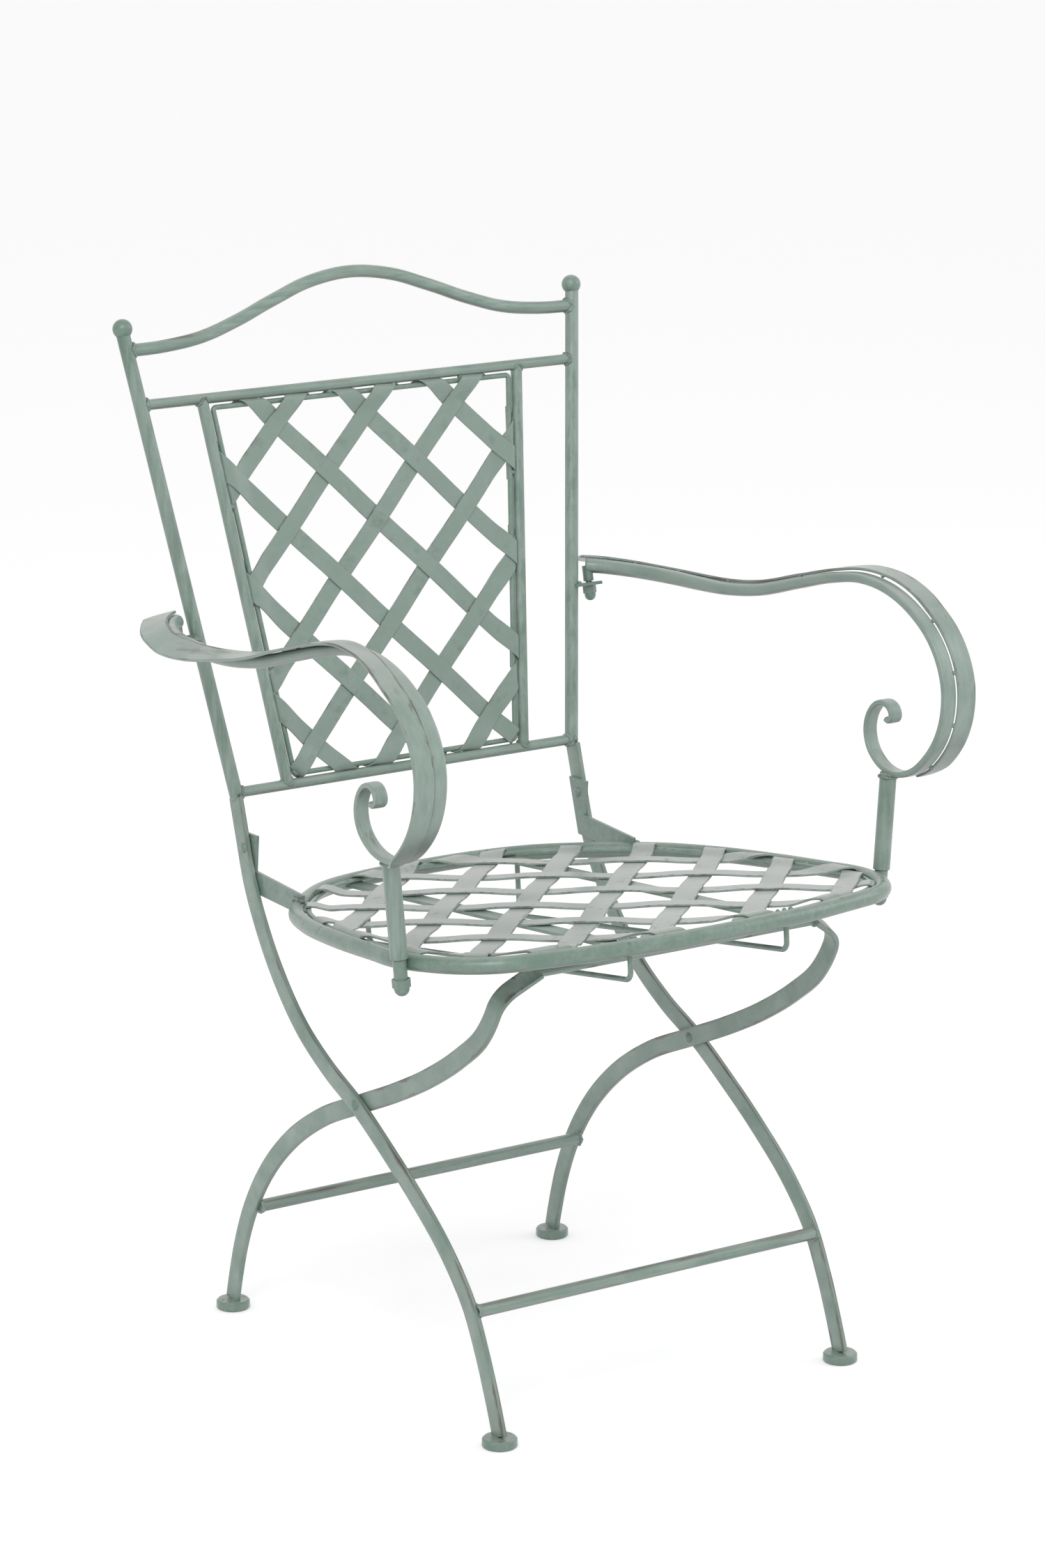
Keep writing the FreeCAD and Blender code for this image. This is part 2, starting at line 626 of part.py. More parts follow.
tab_back = HINGE_Y + BRACKET_TAB_W / 2
tab_front = HINGE_Y - BRACKET_TAB_W / 2
nose = rim_rear_y(bracket_low) - BRACKET_INTO_RIM
bracket_outline = [(tab_back, HINGE_Z + BRACKET_TOP), (tab_front, HINGE_Z + BRACKET_TOP),
                   (tab_front + BRACKET_KNEE_IN, HINGE_Z - BRACKET_KNEE), (nose, HINGE_Z - BRACKET_NOSE),
                   (nose, HINGE_Z - BRACKET_BOTTOM), (tab_back - BRACKET_HEEL_IN, HINGE_Z - BRACKET_HEEL)]
bracket_points = [Vector(bracket_low, y, z) for y, z in bracket_outline]
bracket_face = Part.Face(Part.makePolygon(bracket_points + [bracket_points[0]]))
bracket = bracket_face.extrude(Vector(BRACKET_T, 0, 0))
bracket = bracket.cut(bore(HINGE_Y, HINGE_Z, RIVET_CLEARANCE)).cut(rim)
add_pair("seat_bracket", max(bracket.Solids, key=lambda solid: solid.Volume))

# Slide rails under the straps, and the wire loops that hold the slide bar to them
strap_low = SEAT_STRAP_T + WEAVE_GAP / 2
rail_blank = Part.makeBox(SLIDE_RAIL_W, 600.0, SLIDE_RAIL_T)
rail_blank.translate(Vector(SLIDE_X - SLIDE_RAIL_W / 2, -320.0, -strap_low - SLIDE_RAIL_T))
rail_blank.rotate(Vector(0, 0, 0), Vector(1, 0, 0), -SEAT_TILT)
rail_blank.translate(seat_point(0, 0, WEAVE_LIFT))
slide_rail = rail_blank.cut(rim).cut(seat_rod)
add_pair("slide_rail", max(slide_rail.Solids, key=lambda solid: solid.Volume))


def loop_point(y, drop):
    """A point of the wire loop, from its drop under the straps' middle."""
    return seat_point(SLIDE_X, y / tilt_cos, WEAVE_LIFT - drop)


def round_corner(before, corner, after, radius):
    """An arc that rounds a corner of a path, as its three points."""
    into = unit(before - corner)
    out = unit(after - corner)
    half = into.getAngle(out) / 2
    middle = corner + unit(into + out) * (radius / math.sin(half) - radius)
    return corner + into * (radius / math.tan(half)), middle, corner + out * (radius / math.tan(half))


loop_top = strap_low + SLIDE_RAIL_T
loop_corners = [loop_point(LOOP_FRONT_Y, strap_low), loop_point(LOOP_FRONT_Y, LOOP_FRONT_DROP),
                loop_point(LOOP_REAR_Y, LOOP_REAR_DROP), loop_point(LOOP_REAR_Y, loop_top)]
bend_a = round_corner(loop_corners[0], loop_corners[1], loop_corners[2], LOOP_CORNER_R)
bend_b = round_corner(loop_corners[1], loop_corners[2], loop_corners[3], LOOP_CORNER_R)
loop_edges = [Part.makeLine(loop_corners[0], bend_a[0]), Part.Arc(*bend_a).toShape(),
              Part.makeLine(bend_a[2], bend_b[0]), Part.Arc(*bend_b).toShape(),
              Part.makeLine(bend_b[2], loop_corners[3])]
# Legs, bends and the run between them, end to end
loop_lengths = []
for edge in loop_edges:
    length = swept_tube([edge], WIRE_D).cut(slide_rail).cut(rim).cut(seat_rod)
    loop_lengths.append(max(length.Solids, key=lambda solid: solid.Volume))
add_pair("slide_loop", Part.makeCompound(loop_lengths))

# Arm tube and scroll, on the right-hand side: how far each point is from the stud's distance
# out to the front's, then its y and z
stud_x = upright_half(LUG_RISE) + LUG_STUD_OUT
lug_middle = back_point(stud_x, LUG_RISE)
arm_shape = ((0.205, 219.0, 674.0), (0.398, 207.0, 673.4), (0.591, 189.0, 672.9), (0.761, 166.0, 672.4),
             (0.886, 138.0, 672.1), (0.961, 104.0, 672.0), (0.995, 60.0, 673.9), (1.005, 13.0, 680.5),
             (1.009, -52.0, 698.0), (1.007, -100.0, 710.5), (1.002, -145.0, 717.0),
             (1.0, -187.0, 712.0), (1.0, -222.0, 697.0), (1.0, -245.0, 679.5), (1.0, -260.0, 659.0),
             (1.0, -268.0, 636.0), (1.0, -268.0, 613.0), (1.0, -260.5, 589.0), (1.0, -245.0, 567.0),
             (1.011, -221.0, 548.5), (1.023, -194.0, 542.5), (1.041, -171.0, 549.5),
             (1.057, -157.5, 563.0), (1.068, -153.5, 579.0), (1.08, -158.0, 594.0),
             (1.091, -168.5, 604.0), (1.102, -178.5, 605.0), (1.114, -185.5, 600.0),
             (1.118, -187.0, 593.5), (1.123, -183.3, 589.3), (1.125, -178.8, 590.8))
arm_path = [back_point(stud_x, LUG_RISE + ARM_START_RISE) + Vector(-1.1, 1.1, 0)]
arm_path.extend(Vector(stud_x + (ARM_FRONT_X - stud_x) * share, y, z) for share, y, z in arm_shape)
arm_curve = Part.BSplineCurve()
arm_curve.interpolate(arm_path)


def blend(low, high, at):
    """A smooth step from nought to one."""
    share = min(1.0, max(0.0, (at - low) / (high - low)))
    return share * share * (3.0 - 2.0 * share)


def arm_frame(at):
    """The arm's point and its three directions, at a count along its points."""
    low = int(min(at, len(arm_path) - 1.001))
    knots = [arm_curve.parameter(point) for point in arm_path[low:low + 2]]
    u = knots[0] + (knots[1] - knots[0]) * (at - low)
    point = arm_curve.value(u)
    along = unit(arm_curve.tangent(u)[0])
    out = unit(Vector(1, 0, 0) - along * along.x)
    up = unit(along.cross(out))
    return point, along, out, up


def arm_sizes(at):
    """Half the arm's width, half its thickness and its corners' radius."""
    flat = blend(FLATTEN_FROM, FLATTEN_TO, at)
    thin = blend(SCROLL_FROM, SCROLL_TO, at)
    width = ARM_D + (ARM_FLAT_W - ARM_D) * flat + (SCROLL_W - ARM_FLAT_W) * thin
    depth = ARM_D + (ARM_FLAT_T - ARM_D) * flat + (SCROLL_T - ARM_FLAT_T) * thin
    edge = ARM_EDGE + (ARM_FLAT_EDGE - ARM_EDGE) * flat
    return width / 2, depth / 2, min(width, depth) / 2 - edge


def arm_section(at):
    """A rounded rectangle across the arm: all but round, then flattened, then a thin bar."""
    point, along, out, up = arm_frame(at)
    half_w, half_t, radius = arm_sizes(at)
    arcs = []
    for k, (right, top) in enumerate(((1, 1), (-1, 1), (-1, -1), (1, -1))):
        centre = point + out * (right * (half_w - radius)) + up * (top * (half_t - radius))
        ends = []
        for share in (0.0, 0.5, 1.0):
            turn = (k + share) * math.pi / 2
            ends.append(centre + out * (radius * math.cos(turn)) + up * (radius * math.sin(turn)))
        arcs.append(ends)
    edges = []
    for k, (first, middle, last) in enumerate(arcs):
        edges.append(Part.Arc(first, middle, last).toShape())
        edges.append(Part.makeLine(last, arcs[(k + 1) % 4][0]))
    return Part.Wire(edges)


def steps(first, last, count):
    """Evenly spaced counts along the arm."""
    return [first + (last - first) * i / count for i in range(count + 1)]


arm_sections = [arm_section(at) for at in steps(0.0, len(arm_path) - 1.0, ARM_STATIONS)]
arm_bar = Part.makeLoft(arm_sections, True, True)


def by_count(values, at):
    """A value read off a list by count, and the last one past its end."""
    low = min(int(at), len(values) - 1)
    high = min(low + 1, len(values) - 1)
    return values[low] + (values[high] - values[low]) * (at - int(at))


def band_place(at):
    """The band's lower inner corner, its own across and normal, and the arm's direction.

    The band lies on top of the tube at the rear, banked down outwards, and slides round to
    the tube's outer side before the front.
    """
    point, along, out, up = arm_frame(at)
    half_w, half_t, _ = arm_sizes(at)
    beside = blend(BESIDE_FROM, BESIDE_TO, at)
    slope = math.radians(by_count(BAND_BANKS, at))
    across = out * math.cos(slope) - up * math.sin(slope)
    normal = out * math.sin(slope) + up * math.cos(slope)
    side_reach = half_w + BAND_GAP
    shift = (side_reach + BAND_INSIDE) * beside - BAND_INSIDE
    lean = min(1.0, max(0.0, shift / side_reach))
    height = (half_t + BAND_GAP) * math.sqrt(1.0 - lean * lean) + (half_t + BAND_PROUD - BAND_T) * beside
    return point + across * shift + normal * height, across, normal, along


def band_section(at, tail=0.0):
    """Four corners across the band, at a count or on the rounded tail behind the first one."""
    start, across, normal, along = band_place(at)
    full = by_count(BAND_WIDTHS, at) * (1.0 - BAND_TAPER * blend(BAND_TAPER_FROM, BAND_TO, at))
    width = full * math.sqrt(1.0 - (tail / BAND_TAIL) ** 3)
    start = start - along * tail + across * (full - width) * 0.7
    corners = [start + normal * BAND_T, start + across * width + normal * BAND_T,
               start + across * width, start]
    return Part.makePolygon(corners + [corners[0]])


band_sections = [band_section(0.0, BAND_TAIL * share) for share in (0.96, 0.85, 0.65, 0.4, 0.2)]
band_sections.extend(band_section(at) for at in steps(0.0, BAND_TO, BAND_STATIONS))
arm_band = Part.makeLoft(band_sections, True, True)
band_tacks = []
for at in BAND_TACKS:
    corner, across, normal, along = band_place(at)
    beside = blend(BESIDE_FROM, BESIDE_TO, at)
    inside = BAND_TACK_IN - (BAND_TACK_IN + BAND_GAP / 2) * beside
    middle = corner + across * inside + normal * ((BAND_T - BAND_PROUD) / 2 * beside)
    band_tacks.append(Part.makeSphere(BAND_TACK_R, middle))
arm_band = arm_band.fuse(band_tacks).cut(arm_bar)

# Posts, from the scroll down to the sleeve on the seat's rim
post_foot = Vector(POST_X, POST_Y, POST_FOOT_Z)
scroll_low = min(arm_path, key=lambda point: point.z)
post_top = scroll_low + Vector(-POST_TOP_IN, POST_TOP_BACK, 0)
post_axis = unit(post_top - post_foot)
post = rod(post_foot, post_top, POST_D).cut(arm_bar)
post = max(post.Solids, key=lambda solid: solid.BoundBox.ZLength)
inside_scroll = Part.makeBox(80.0, 80.0, 60.0, scroll_low - Vector(40.0, 40.0, 0))
post = max(post.cut(inside_scroll).Solids, key=lambda solid: solid.Volume)
sleeve_top = post_foot - post_axis * POST_NECK
sleeve_foot = sleeve_top - post_axis * SLEEVE_H
bolt = rod(sleeve_foot - post_axis * BOLT_IN_NUT, post_foot, BOLT_D)
sleeve = rod(sleeve_foot, sleeve_top, SLEEVE_D).cut(rim).cut(bolt)
sleeve = max(sleeve.Solids, key=lambda solid: solid.Volume)
neck = rod(sleeve_top, post_foot, POST_NECK_D).cut(bolt)
add_pair("arm_post", post.fuse(neck))
add_pair("post_sleeve", sleeve)


def acorn_nut(top, axis, diameter, height, stud_d, stud_depth):
    """A domed nut hanging from its upper face: six flats, then a round cap."""
    flats_h = height * NUT_FLATS
    down = axis * -1.0
    side = unit(Vector(0, 1, 0) - axis * axis.y)
    across = unit(axis.cross(side))
    corners = []
    for k in range(6):
        turn = math.pi / 3 * k
        corners.append(top + side * (diameter / 2 * math.cos(turn)) + across * (diameter / 2 * math.sin(turn)))
    hexagon = Part.Face(Part.makePolygon(corners + [corners[0]])).extrude(down * flats_h)
    cap_r = diameter * NUT_CAP
    level = height - cap_r

    def at(out, drop):
        return top + side * out + down * drop

    start = at(0.0, flats_h / 2)
    shoulder = at(cap_r, level)
    halfway = at(cap_r * math.sqrt(0.5), level + cap_r * math.sqrt(0.5))
    outline = [Part.makeLine(start, at(cap_r, flats_h / 2)),
               Part.makeLine(at(cap_r, flats_h / 2), shoulder),
               Part.Arc(shoulder, halfway, at(0.0, height)).toShape(),
               Part.makeLine(at(0.0, height), start)]
    cap = Part.Face(Part.Wire(outline)).revolve(top, down, 360.0)
    hole = Part.makeCylinder(stud_d / 2, stud_depth, top, down)
    return hexagon.fuse(cap).cut(hole)


post_nut = acorn_nut(sleeve_foot, post_axis, POST_NUT_D, POST_NUT_H, BOLT_D, BOLT_IN_NUT)
nodes["post_bolts"] = Part.makeCompound([bolt, mirrored(bolt)])
nodes["post_nuts"] = Part.makeCompound([post_nut, mirrored(post_nut)])

# Rear lugs on the uprights, with the arm's stud, shoulder and nut
lean_up = unit(back_point(0, 1.0) - back_point(0, 0.0))
lean_back = unit(back_point(0, 0, -1.0) - back_point(0, 0, 0.0))
lug_reach = stud_x + LUG_REACH
lug_root = upright_half(LUG_RISE)
lug = Part.makeBox(lug_reach - lug_root, LUG_W, LUG_T, Vector(lug_root, -LUG_W / 2, -LUG_T / 2))
lug.rotate(Vector(0, 0, 0), Vector(1, 0, 0), -BACK_LEAN)
lug.translate(Vector(0, lug_middle.y, lug_middle.z))
slot_w = BOLT_D + 2 * LUG_SLOT_CLEARANCE
slot_end = Part.makeCylinder(slot_w / 2, LUG_T * 3, lug_middle - lean_up * (LUG_T * 1.5), lean_up)
slot = Part.makeBox(slot_w, LUG_W, LUG_T * 3, Vector(stud_x - slot_w / 2, 0, -LUG_T * 1.5))
slot.rotate(Vector(0, 0, 0), Vector(1, 0, 0), -BACK_LEAN)
slot.translate(Vector(0, lug_middle.y, lug_middle.z))
add_pair("arm_lug", lug.cut(upright).cut(slot_end).cut(slot))

nut_face = lug_middle - lean_up * (LUG_T / 2 + LUG_NUT_PLAY)
shoulder_face = lug_middle + lean_up * (LUG_T / 2 + LUG_SHOULDER_PLAY)
stud_top = lug_middle + lean_up * ARM_START_RISE
stud_foot = nut_face - lean_up * STUD_IN_NUT
stud = rod(stud_foot, stud_top, BOLT_D).cut(arm_bar)
stud = min(stud.Solids, key=lambda solid: solid.BoundBox.ZMin)
shoulder = rod(shoulder_face, stud_top, LUG_SHOULDER_D).cut(arm_bar).cut(stud)
shoulder = min(shoulder.Solids, key=lambda solid: solid.BoundBox.ZMin)
lug_nut = acorn_nut(nut_face, lean_up, LUG_NUT_D, LUG_NUT_H, BOLT_D, STUD_IN_NUT)
nodes["lug_studs"] = Part.makeCompound([stud, mirrored(stud)])
nodes["lug_shoulders"] = Part.makeCompound([shoulder, mirrored(shoulder)])
nodes["lug_nuts"] = Part.makeCompound([lug_nut, mirrored(lug_nut)])
add_pair("arm_bar", arm_bar)
add_pair("arm_band", arm_band)

os.makedirs("parts", exist_ok=True)
for name, shape in nodes.items():
    box = shape.BoundBox
    print(name, "solids", len(shape.Solids), "valid", shape.isValid(), "volume", round(shape.Volume, 1),
          "x", round(box.XMin, 1), round(box.XMax, 1), "y", round(box.YMin, 1), round(box.YMax, 1),
          "z", round(box.ZMin, 1), round(box.ZMax, 1))
    shape.exportStep(os.path.join("parts", name + ".step"))
print("slide bar axis", slide_end)
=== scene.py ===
# %% [markdown]
# # A folding garden armchair in antique green paint
#
# The chair is welded from tube, rod and flat bar, and its seat and back are woven from thin straps. The
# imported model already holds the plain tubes, rails, feet, nuts and rivets at their real size. This lesson
# keeps those, gives them paint, and models what a plain solid can't show: the woven straps that wrap round
# their rods, bars with softened edges, the flattened and scrolled arms, and the welds.

import math
from typing import NamedTuple

import bmesh
import bpy
import numpy as np
from mathutils import Matrix


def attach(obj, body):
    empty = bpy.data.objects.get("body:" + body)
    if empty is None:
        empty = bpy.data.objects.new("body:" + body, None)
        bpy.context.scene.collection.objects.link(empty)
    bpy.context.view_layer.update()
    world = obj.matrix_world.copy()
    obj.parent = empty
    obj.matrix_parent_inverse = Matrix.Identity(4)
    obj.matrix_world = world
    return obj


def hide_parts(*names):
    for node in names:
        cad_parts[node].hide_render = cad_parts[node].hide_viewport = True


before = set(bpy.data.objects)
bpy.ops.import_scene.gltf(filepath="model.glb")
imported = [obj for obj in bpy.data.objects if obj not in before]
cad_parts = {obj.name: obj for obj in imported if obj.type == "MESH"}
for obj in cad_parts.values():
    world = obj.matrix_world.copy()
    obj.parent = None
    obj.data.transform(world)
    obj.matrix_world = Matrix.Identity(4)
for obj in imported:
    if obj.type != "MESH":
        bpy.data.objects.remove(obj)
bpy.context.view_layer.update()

# %% [markdown]
# ## Where the camera stood
#
# A long lens looked at the chair's front left corner from a little above the seat. Three directions
# describe the view: right, up, and back towards the lens. A matrix with those columns places the camera,
# and later the lamps.

# %% Camera
VIEW_AZIMUTH = math.radians(-35.25)
VIEW_ELEVATION = math.radians(13.52)
CAMERA_PLACE = (-2.6995, -3.8153, 1.6564)
LENS = 119.8
SENSOR = 36.0
FAR_CLIP = 200.0


def added(name, data):
    """A new object in the scene."""
    made = bpy.data.objects.new(name, data)
    bpy.context.scene.collection.objects.link(made)
    return made


def unit(vectors):
    """Each row divided by its own length."""
    return vectors / np.linalg.norm(vectors, axis=-1, keepdims=True)


def aimed(place, back):
    """The matrix: right is level and across back, and up is at right angles to both."""
    back = unit(np.asarray(back))
    right = unit(np.cross([0.0, 0.0, 1.0], back))
    turn = np.column_stack([right, np.cross(back, right), back])
    return Matrix.Translation(place) @ Matrix(turn.tolist()).to_4x4()


def place_camera():
    """Back comes from azimuth a and elevation e: (sin a cos e, -cos a cos e, sin e)."""
    a, e = VIEW_AZIMUTH, VIEW_ELEVATION
    back = (math.sin(a) * math.cos(e), -math.cos(a) * math.cos(e), math.sin(e))
    data = bpy.data.cameras.new("camera")
    data.lens = LENS
    data.sensor_fit = "VERTICAL"
    data.sensor_height = SENSOR
    data.clip_end = FAR_CLIP
    camera = added("camera", data)
    camera.matrix_world = aimed(CAMERA_PLACE, back)
    bpy.context.scene.camera = camera


place_camera()
bpy.context.scene.view_settings.view_transform = "Standard"

# %% [markdown]
# ## Writing shader maths as plain expressions
#
# A material is a graph of nodes. Python can wrap one output socket in a small class, so that adding or
# multiplying two wrapped sockets adds the Math node for it. The formula then reads like a formula. Every
# other node comes from one method.

# %% Shader maths


class Signal:
    """A number that varies over the surface: arithmetic on it adds Math nodes."""

    def __init__(self, shader, socket):
        self.shader = shader
        self.socket = socket

    def math(self, operation, *others):
        node = self.shader.node("ShaderNodeMath", {"operation": operation}, {0: self})
        for i, other in enumerate(others):
            self.shader.connect(node.inputs[i + 1], other)
        return Signal(self.shader, node.outputs[0])

    def __add__(self, other):
        return self.math("ADD", other)

    def __sub__(self, other):
        return self.math("SUBTRACT", other)

    def __mul__(self, other):
        return self.math("MULTIPLY", other)

    def __rsub__(self, other):
        return (self * -1.0) + other

    __radd__ = __add__
    __rmul__ = __mul__

    def step(self, low, high):
        """A smooth rise from nought at low to one at high."""
        node = self.shader.node("ShaderNodeMapRange", {"interpolation_type": "SMOOTHSTEP"},
                                {"Value": self, "From Min": low, "From Max": high})
        return Signal(self.shader, node.outputs["Result"])


class Shader:
    """One material's nodes: a Principled surface, and a method that adds any other node."""

    def __init__(self, name):
        self.material = bpy.data.materials.new(name)
        self.material.use_nodes = True
        self.tree = self.material.node_tree
        self.surface = self.tree.nodes["Principled BSDF"]

    def connect(self, socket, value):
        if isinstance(value, Signal):
            self.tree.links.new(value.socket, socket)
        elif isinstance(value, bpy.types.NodeSocket):
            self.tree.links.new(value, socket)
        else:
            socket.default_value = value

    def node(self, kind, settings=None, inputs=None):
        node = self.tree.nodes.new(kind)
        for key, value in (settings or {}).items():
            setattr(node, key, value)
        return self.fill(node, inputs or {})

    def fill(self, node, inputs):
        for key, value in inputs.items():
            self.connect(node.inputs[key], value)
        return node

    def noise(self, coordinates, scale, detail, roughness=0.55):
        """Cloudy noise, from nought to one."""
        node = self.node("ShaderNodeTexNoise", {}, {"Vector": coordinates, "Scale": scale,
                                                    "Detail": detail, "Roughness": roughness})
        return Signal(self, node.outputs["Fac"])

    def mixed(self, share, low, high):
        """A colour between two others."""
        node = self.node("ShaderNodeMix", {"data_type": "RGBA"}, {"Factor": share, 6: low, 7: high})
        return node.outputs[2]

    def stretched(self, coordinates, stretch):
        """Coordinates multiplied along each axis: a small number draws a pattern out along it."""
        node = self.node("ShaderNodeVectorMath", {"operation": "MULTIPLY"}, {0: coordinates, 1: stretch})
        return node.outputs["Vector"]

    def stored(self, label):
        """A number that the mesh keeps for each of its points."""
        node = self.node("ShaderNodeAttribute", {"attribute_name": label})
        return Signal(self, node.outputs["Fac"])


def srgb(red, green, blue):
    """A colour as a screen shows it, from 0 to 255, as the linear numbers that shaders use.

    The bends in the curve are the sRGB standard's own numbers.
    """
    share = np.array([red, green, blue]) / 255.0
    linear = np.where(share < 0.04045, share / 12.92, ((share + 0.055) / 1.055) ** 2.4)
    return (*[float(c) for c in linear], 1.0)


# %% [markdown]
# ## Antique paint
#
# The real finish is a grey green coat over a darker one, wiped while wet so that brown shows on edges,
# welds and along the tops of tubes. Four noises make it: clouds that shift the green, broad and narrow
# streaks drawn out along the bar, and fine grain. Stored values for edges and welds, and how far the
# surface faces up, decide where the brown comes through. Light is painted in too: faces that look up get a
# pale painted highlight, and faces that look down get dark painted shade.

# %% Paint material
PALE_GREEN = srgb(146, 164, 155)
MAIN_GREEN = srgb(122, 142, 132)
TUBE_GREEN = srgb(99, 125, 112)
POST_GREEN = srgb(90, 116, 103)
DEEP_GREEN = srgb(80, 104, 92)
# The pale grey of the painted highlight on faces that look up
HIGHLIGHT_GREY = srgb(168, 173, 168)
RUBBED_BROWN = srgb(96, 88, 78)
DARK_BROWN = srgb(52, 49, 45)
# How strongly painted shade darkens faces that look down
UNDERSIDE_SHADE = 0.6
CLOUD_SCALE = 24.0  # patterns per metre, for this and the next three
BROAD_SCALE = 60.0
STREAK_SCALE = 190.0
GRAIN_SCALE = 900.0
SPECULAR = 0.6
COAT = 0.7
COAT_ROUGHNESS = 0.28
BUMP_STRENGTH = 0.22
BUMP_DEPTH = 0.0004


def antique_paint(name, green, brown, streaks, stretch=(1.0, 1.0, 1.0), highlight_share=0.3, base=MAIN_GREEN):
    """Paint whose streaks run along the axis with the smallest stretch.

    Brown and green set how much of each shows, and the highlight share how pale a highlight is painted
    on faces that look up.
    """
    shader = Shader(name)
    place = shader.node("ShaderNodeTexCoord")
    at = place.outputs["Object"]
    drawn_out = shader.stretched(at, stretch)
    clouds = shader.noise(at, CLOUD_SCALE, 4.0)
    streak = shader.noise(drawn_out, STREAK_SCALE, 5.0, 0.6)
    broad_streak = shader.noise(drawn_out, BROAD_SCALE, 3.0, 0.5)
    grain = shader.noise(at, GRAIN_SCALE, 3.0, 0.7)
    facing = shader.node("ShaderNodeSeparateXYZ", {}, {0: place.outputs["Normal"]})
    upwards = Signal(shader, facing.outputs["Z"])
    edge = shader.stored("edge")
    weld = shader.stored("weld")

    # The green: pale brush marks over the base, and deeper clouds over both, a little more of them on faces
    # that look down as painted shade
    shade = clouds * 0.5 + streak * streaks * 0.7 + broad_streak * 0.3
    pale = (shade + grain * 0.25).step(0.45 + 0.25 * green, 0.95 + 0.25 * green)
    deep = (broad_streak * 0.8 + clouds * 0.4 - upwards * 0.08).step(0.62 - 0.1 * green, 0.88)
    colour = shader.mixed(pale, base, PALE_GREEN)
    colour = shader.mixed(deep * 0.7, colour, DEEP_GREEN)

    # Painted highlight: faces that look up are made pale grey, as if lit from above
    painted_highlight = (upwards + clouds * 0.3).step(0.85, 1.15)
    colour = shader.mixed(painted_highlight * highlight_share, colour, HIGHLIGHT_GREY)

    # Brown where streaks, edges and welds add up, and dark brown where they add up to more
    rub = streak * 0.55 + broad_streak * 0.45 + upwards * 0.11 + edge * 0.16 + weld * 0.05
    rubbed = rub.step(0.68 - 0.16 * brown, 0.84 - 0.16 * brown)
    colour = shader.mixed(rubbed * 0.8, colour, RUBBED_BROWN)
    dirt = (rub + grain * 0.12).step(0.80 - 0.12 * brown, 1.0 - 0.12 * brown)
    colour = shader.mixed(dirt * 0.75, colour, DARK_BROWN)

    # Painted shade: dark brown again on faces that look down, broken up by clouds and streaks
    under = (clouds * 0.5 + streak * 0.3 - upwards * 0.75).step(0.62, 1.05)
    colour = shader.mixed(under * UNDERSIDE_SHADE, colour, DARK_BROWN)

    # Satin where the paint is whole, duller where it is rubbed, with fine relief
    rough = grain * 0.16 + rubbed * 0.16 + 0.40
    relief = {"Strength": BUMP_STRENGTH, "Distance": BUMP_DEPTH, "Height": grain * 0.35 + streak * 0.65}
    bump = shader.node("ShaderNodeBump", {}, relief)
    shader.fill(shader.surface, {"Base Color": colour, "Roughness": rough, "Specular IOR Level": SPECULAR,
                                 "Coat Weight": COAT, "Coat Roughness": COAT_ROUGHNESS,
                                 "Normal": bump.outputs["Normal"]})
    return shader.material


paint_plain = antique_paint("paint_plain", green=0.4, brown=0.3, streaks=0.5, base=TUBE_GREEN)
paint_strap = antique_paint("paint_strap", green=0.2, brown=0.12, streaks=0.25, highlight_share=0.85)
paint_across = antique_paint("paint_across", stretch=(0.06, 1.0, 1.0), green=0.5, brown=0.6,
                             streaks=0.9, base=TUBE_GREEN)
paint_upright = antique_paint("paint_upright", stretch=(1.0, 1.0, 0.06), green=0.5, brown=0.5,
                              streaks=0.9, base=POST_GREEN)
paint_bar = antique_paint("paint_bar", stretch=(1.0, 0.16, 0.16), green=0.45, brown=0.4,
                          streaks=0.8, base=TUBE_GREEN)
paint_arm = antique_paint("paint_arm", stretch=(1.0, 0.12, 0.4), green=0.3, brown=0.35,
                          streaks=0.7, highlight_share=0.6)
paint_weld = antique_paint("paint_weld", green=0.6, brown=0.6, streaks=0.8, base=TUBE_GREEN)
paint_fixing = antique_paint("paint_fixing", green=0.7, brown=0.65, streaks=0.6, base=TUBE_GREEN)

# %% [markdown]
# ## A path, and a profile carried along it
#
# Nearly every new piece is one profile carried along one path. The path is a smooth curve through a few
# points. At each station the profile is set up on two directions across the path: one is a chosen reference
# direction with its part along the path taken off, and the other is at right angles to both.

# %% Paths
MM = 0.001
SPAN_STEPS = 40
SIDES = (("right", 1.0), ("left", -1.0))


def eased(low, high, at):
    """A smooth step from nought at low to one at high: s s (3 - 2 s), s being the share of the way."""
    share = np.clip((at - low) / (high - low), 0.0, 1.0)
    return share * share * (3 - 2 * share)


def smooth_path(points, spacing, closed=False):
    """A curve through the points, at even spacing.

    Between two points it is a cubic whose end slopes are those of the circle through each point and its two
    neighbours. The slope at an open end mirrors its neighbour's slope in the chord.
    """
    points = np.asarray(points, float)
    before = points - np.roll(points, 1, axis=0)
    after = np.roll(points, -1, axis=0) - points
    into = np.linalg.norm(before, axis=1, keepdims=True)
    out = np.linalg.norm(after, axis=1, keepdims=True)
    slopes = unit(before / into * out + after / out * into)
    if not closed:
        for end, beside in ((0, 1), (-1, -2)):
            chord = unit(points[beside] - points[end])
            slopes[end] = 2 * chord * (chord @ slopes[beside]) - slopes[beside]
    spans = len(points) if closed else len(points) - 1
    share = np.linspace(0.0, 1.0, SPAN_STEPS, endpoint=False)[None, :, None]
    start = points[:spans, None]
    end = np.roll(points, -1, axis=0)[:spans, None]
    length = out[:spans, None]
    first = slopes[:spans, None] * length
    last = np.roll(slopes, -1, axis=0)[:spans, None] * length
    blend = eased(0.0, 1.0, share)
    bow = share * (1 - share) * ((1 - share) * first - share * last)
    curve = ((1 - blend) * start + blend * end + bow).reshape(-1, 3)
    curve = np.vstack([curve, points[:1] if closed else points[-1:]])
    return even_path(curve, spacing, closed)


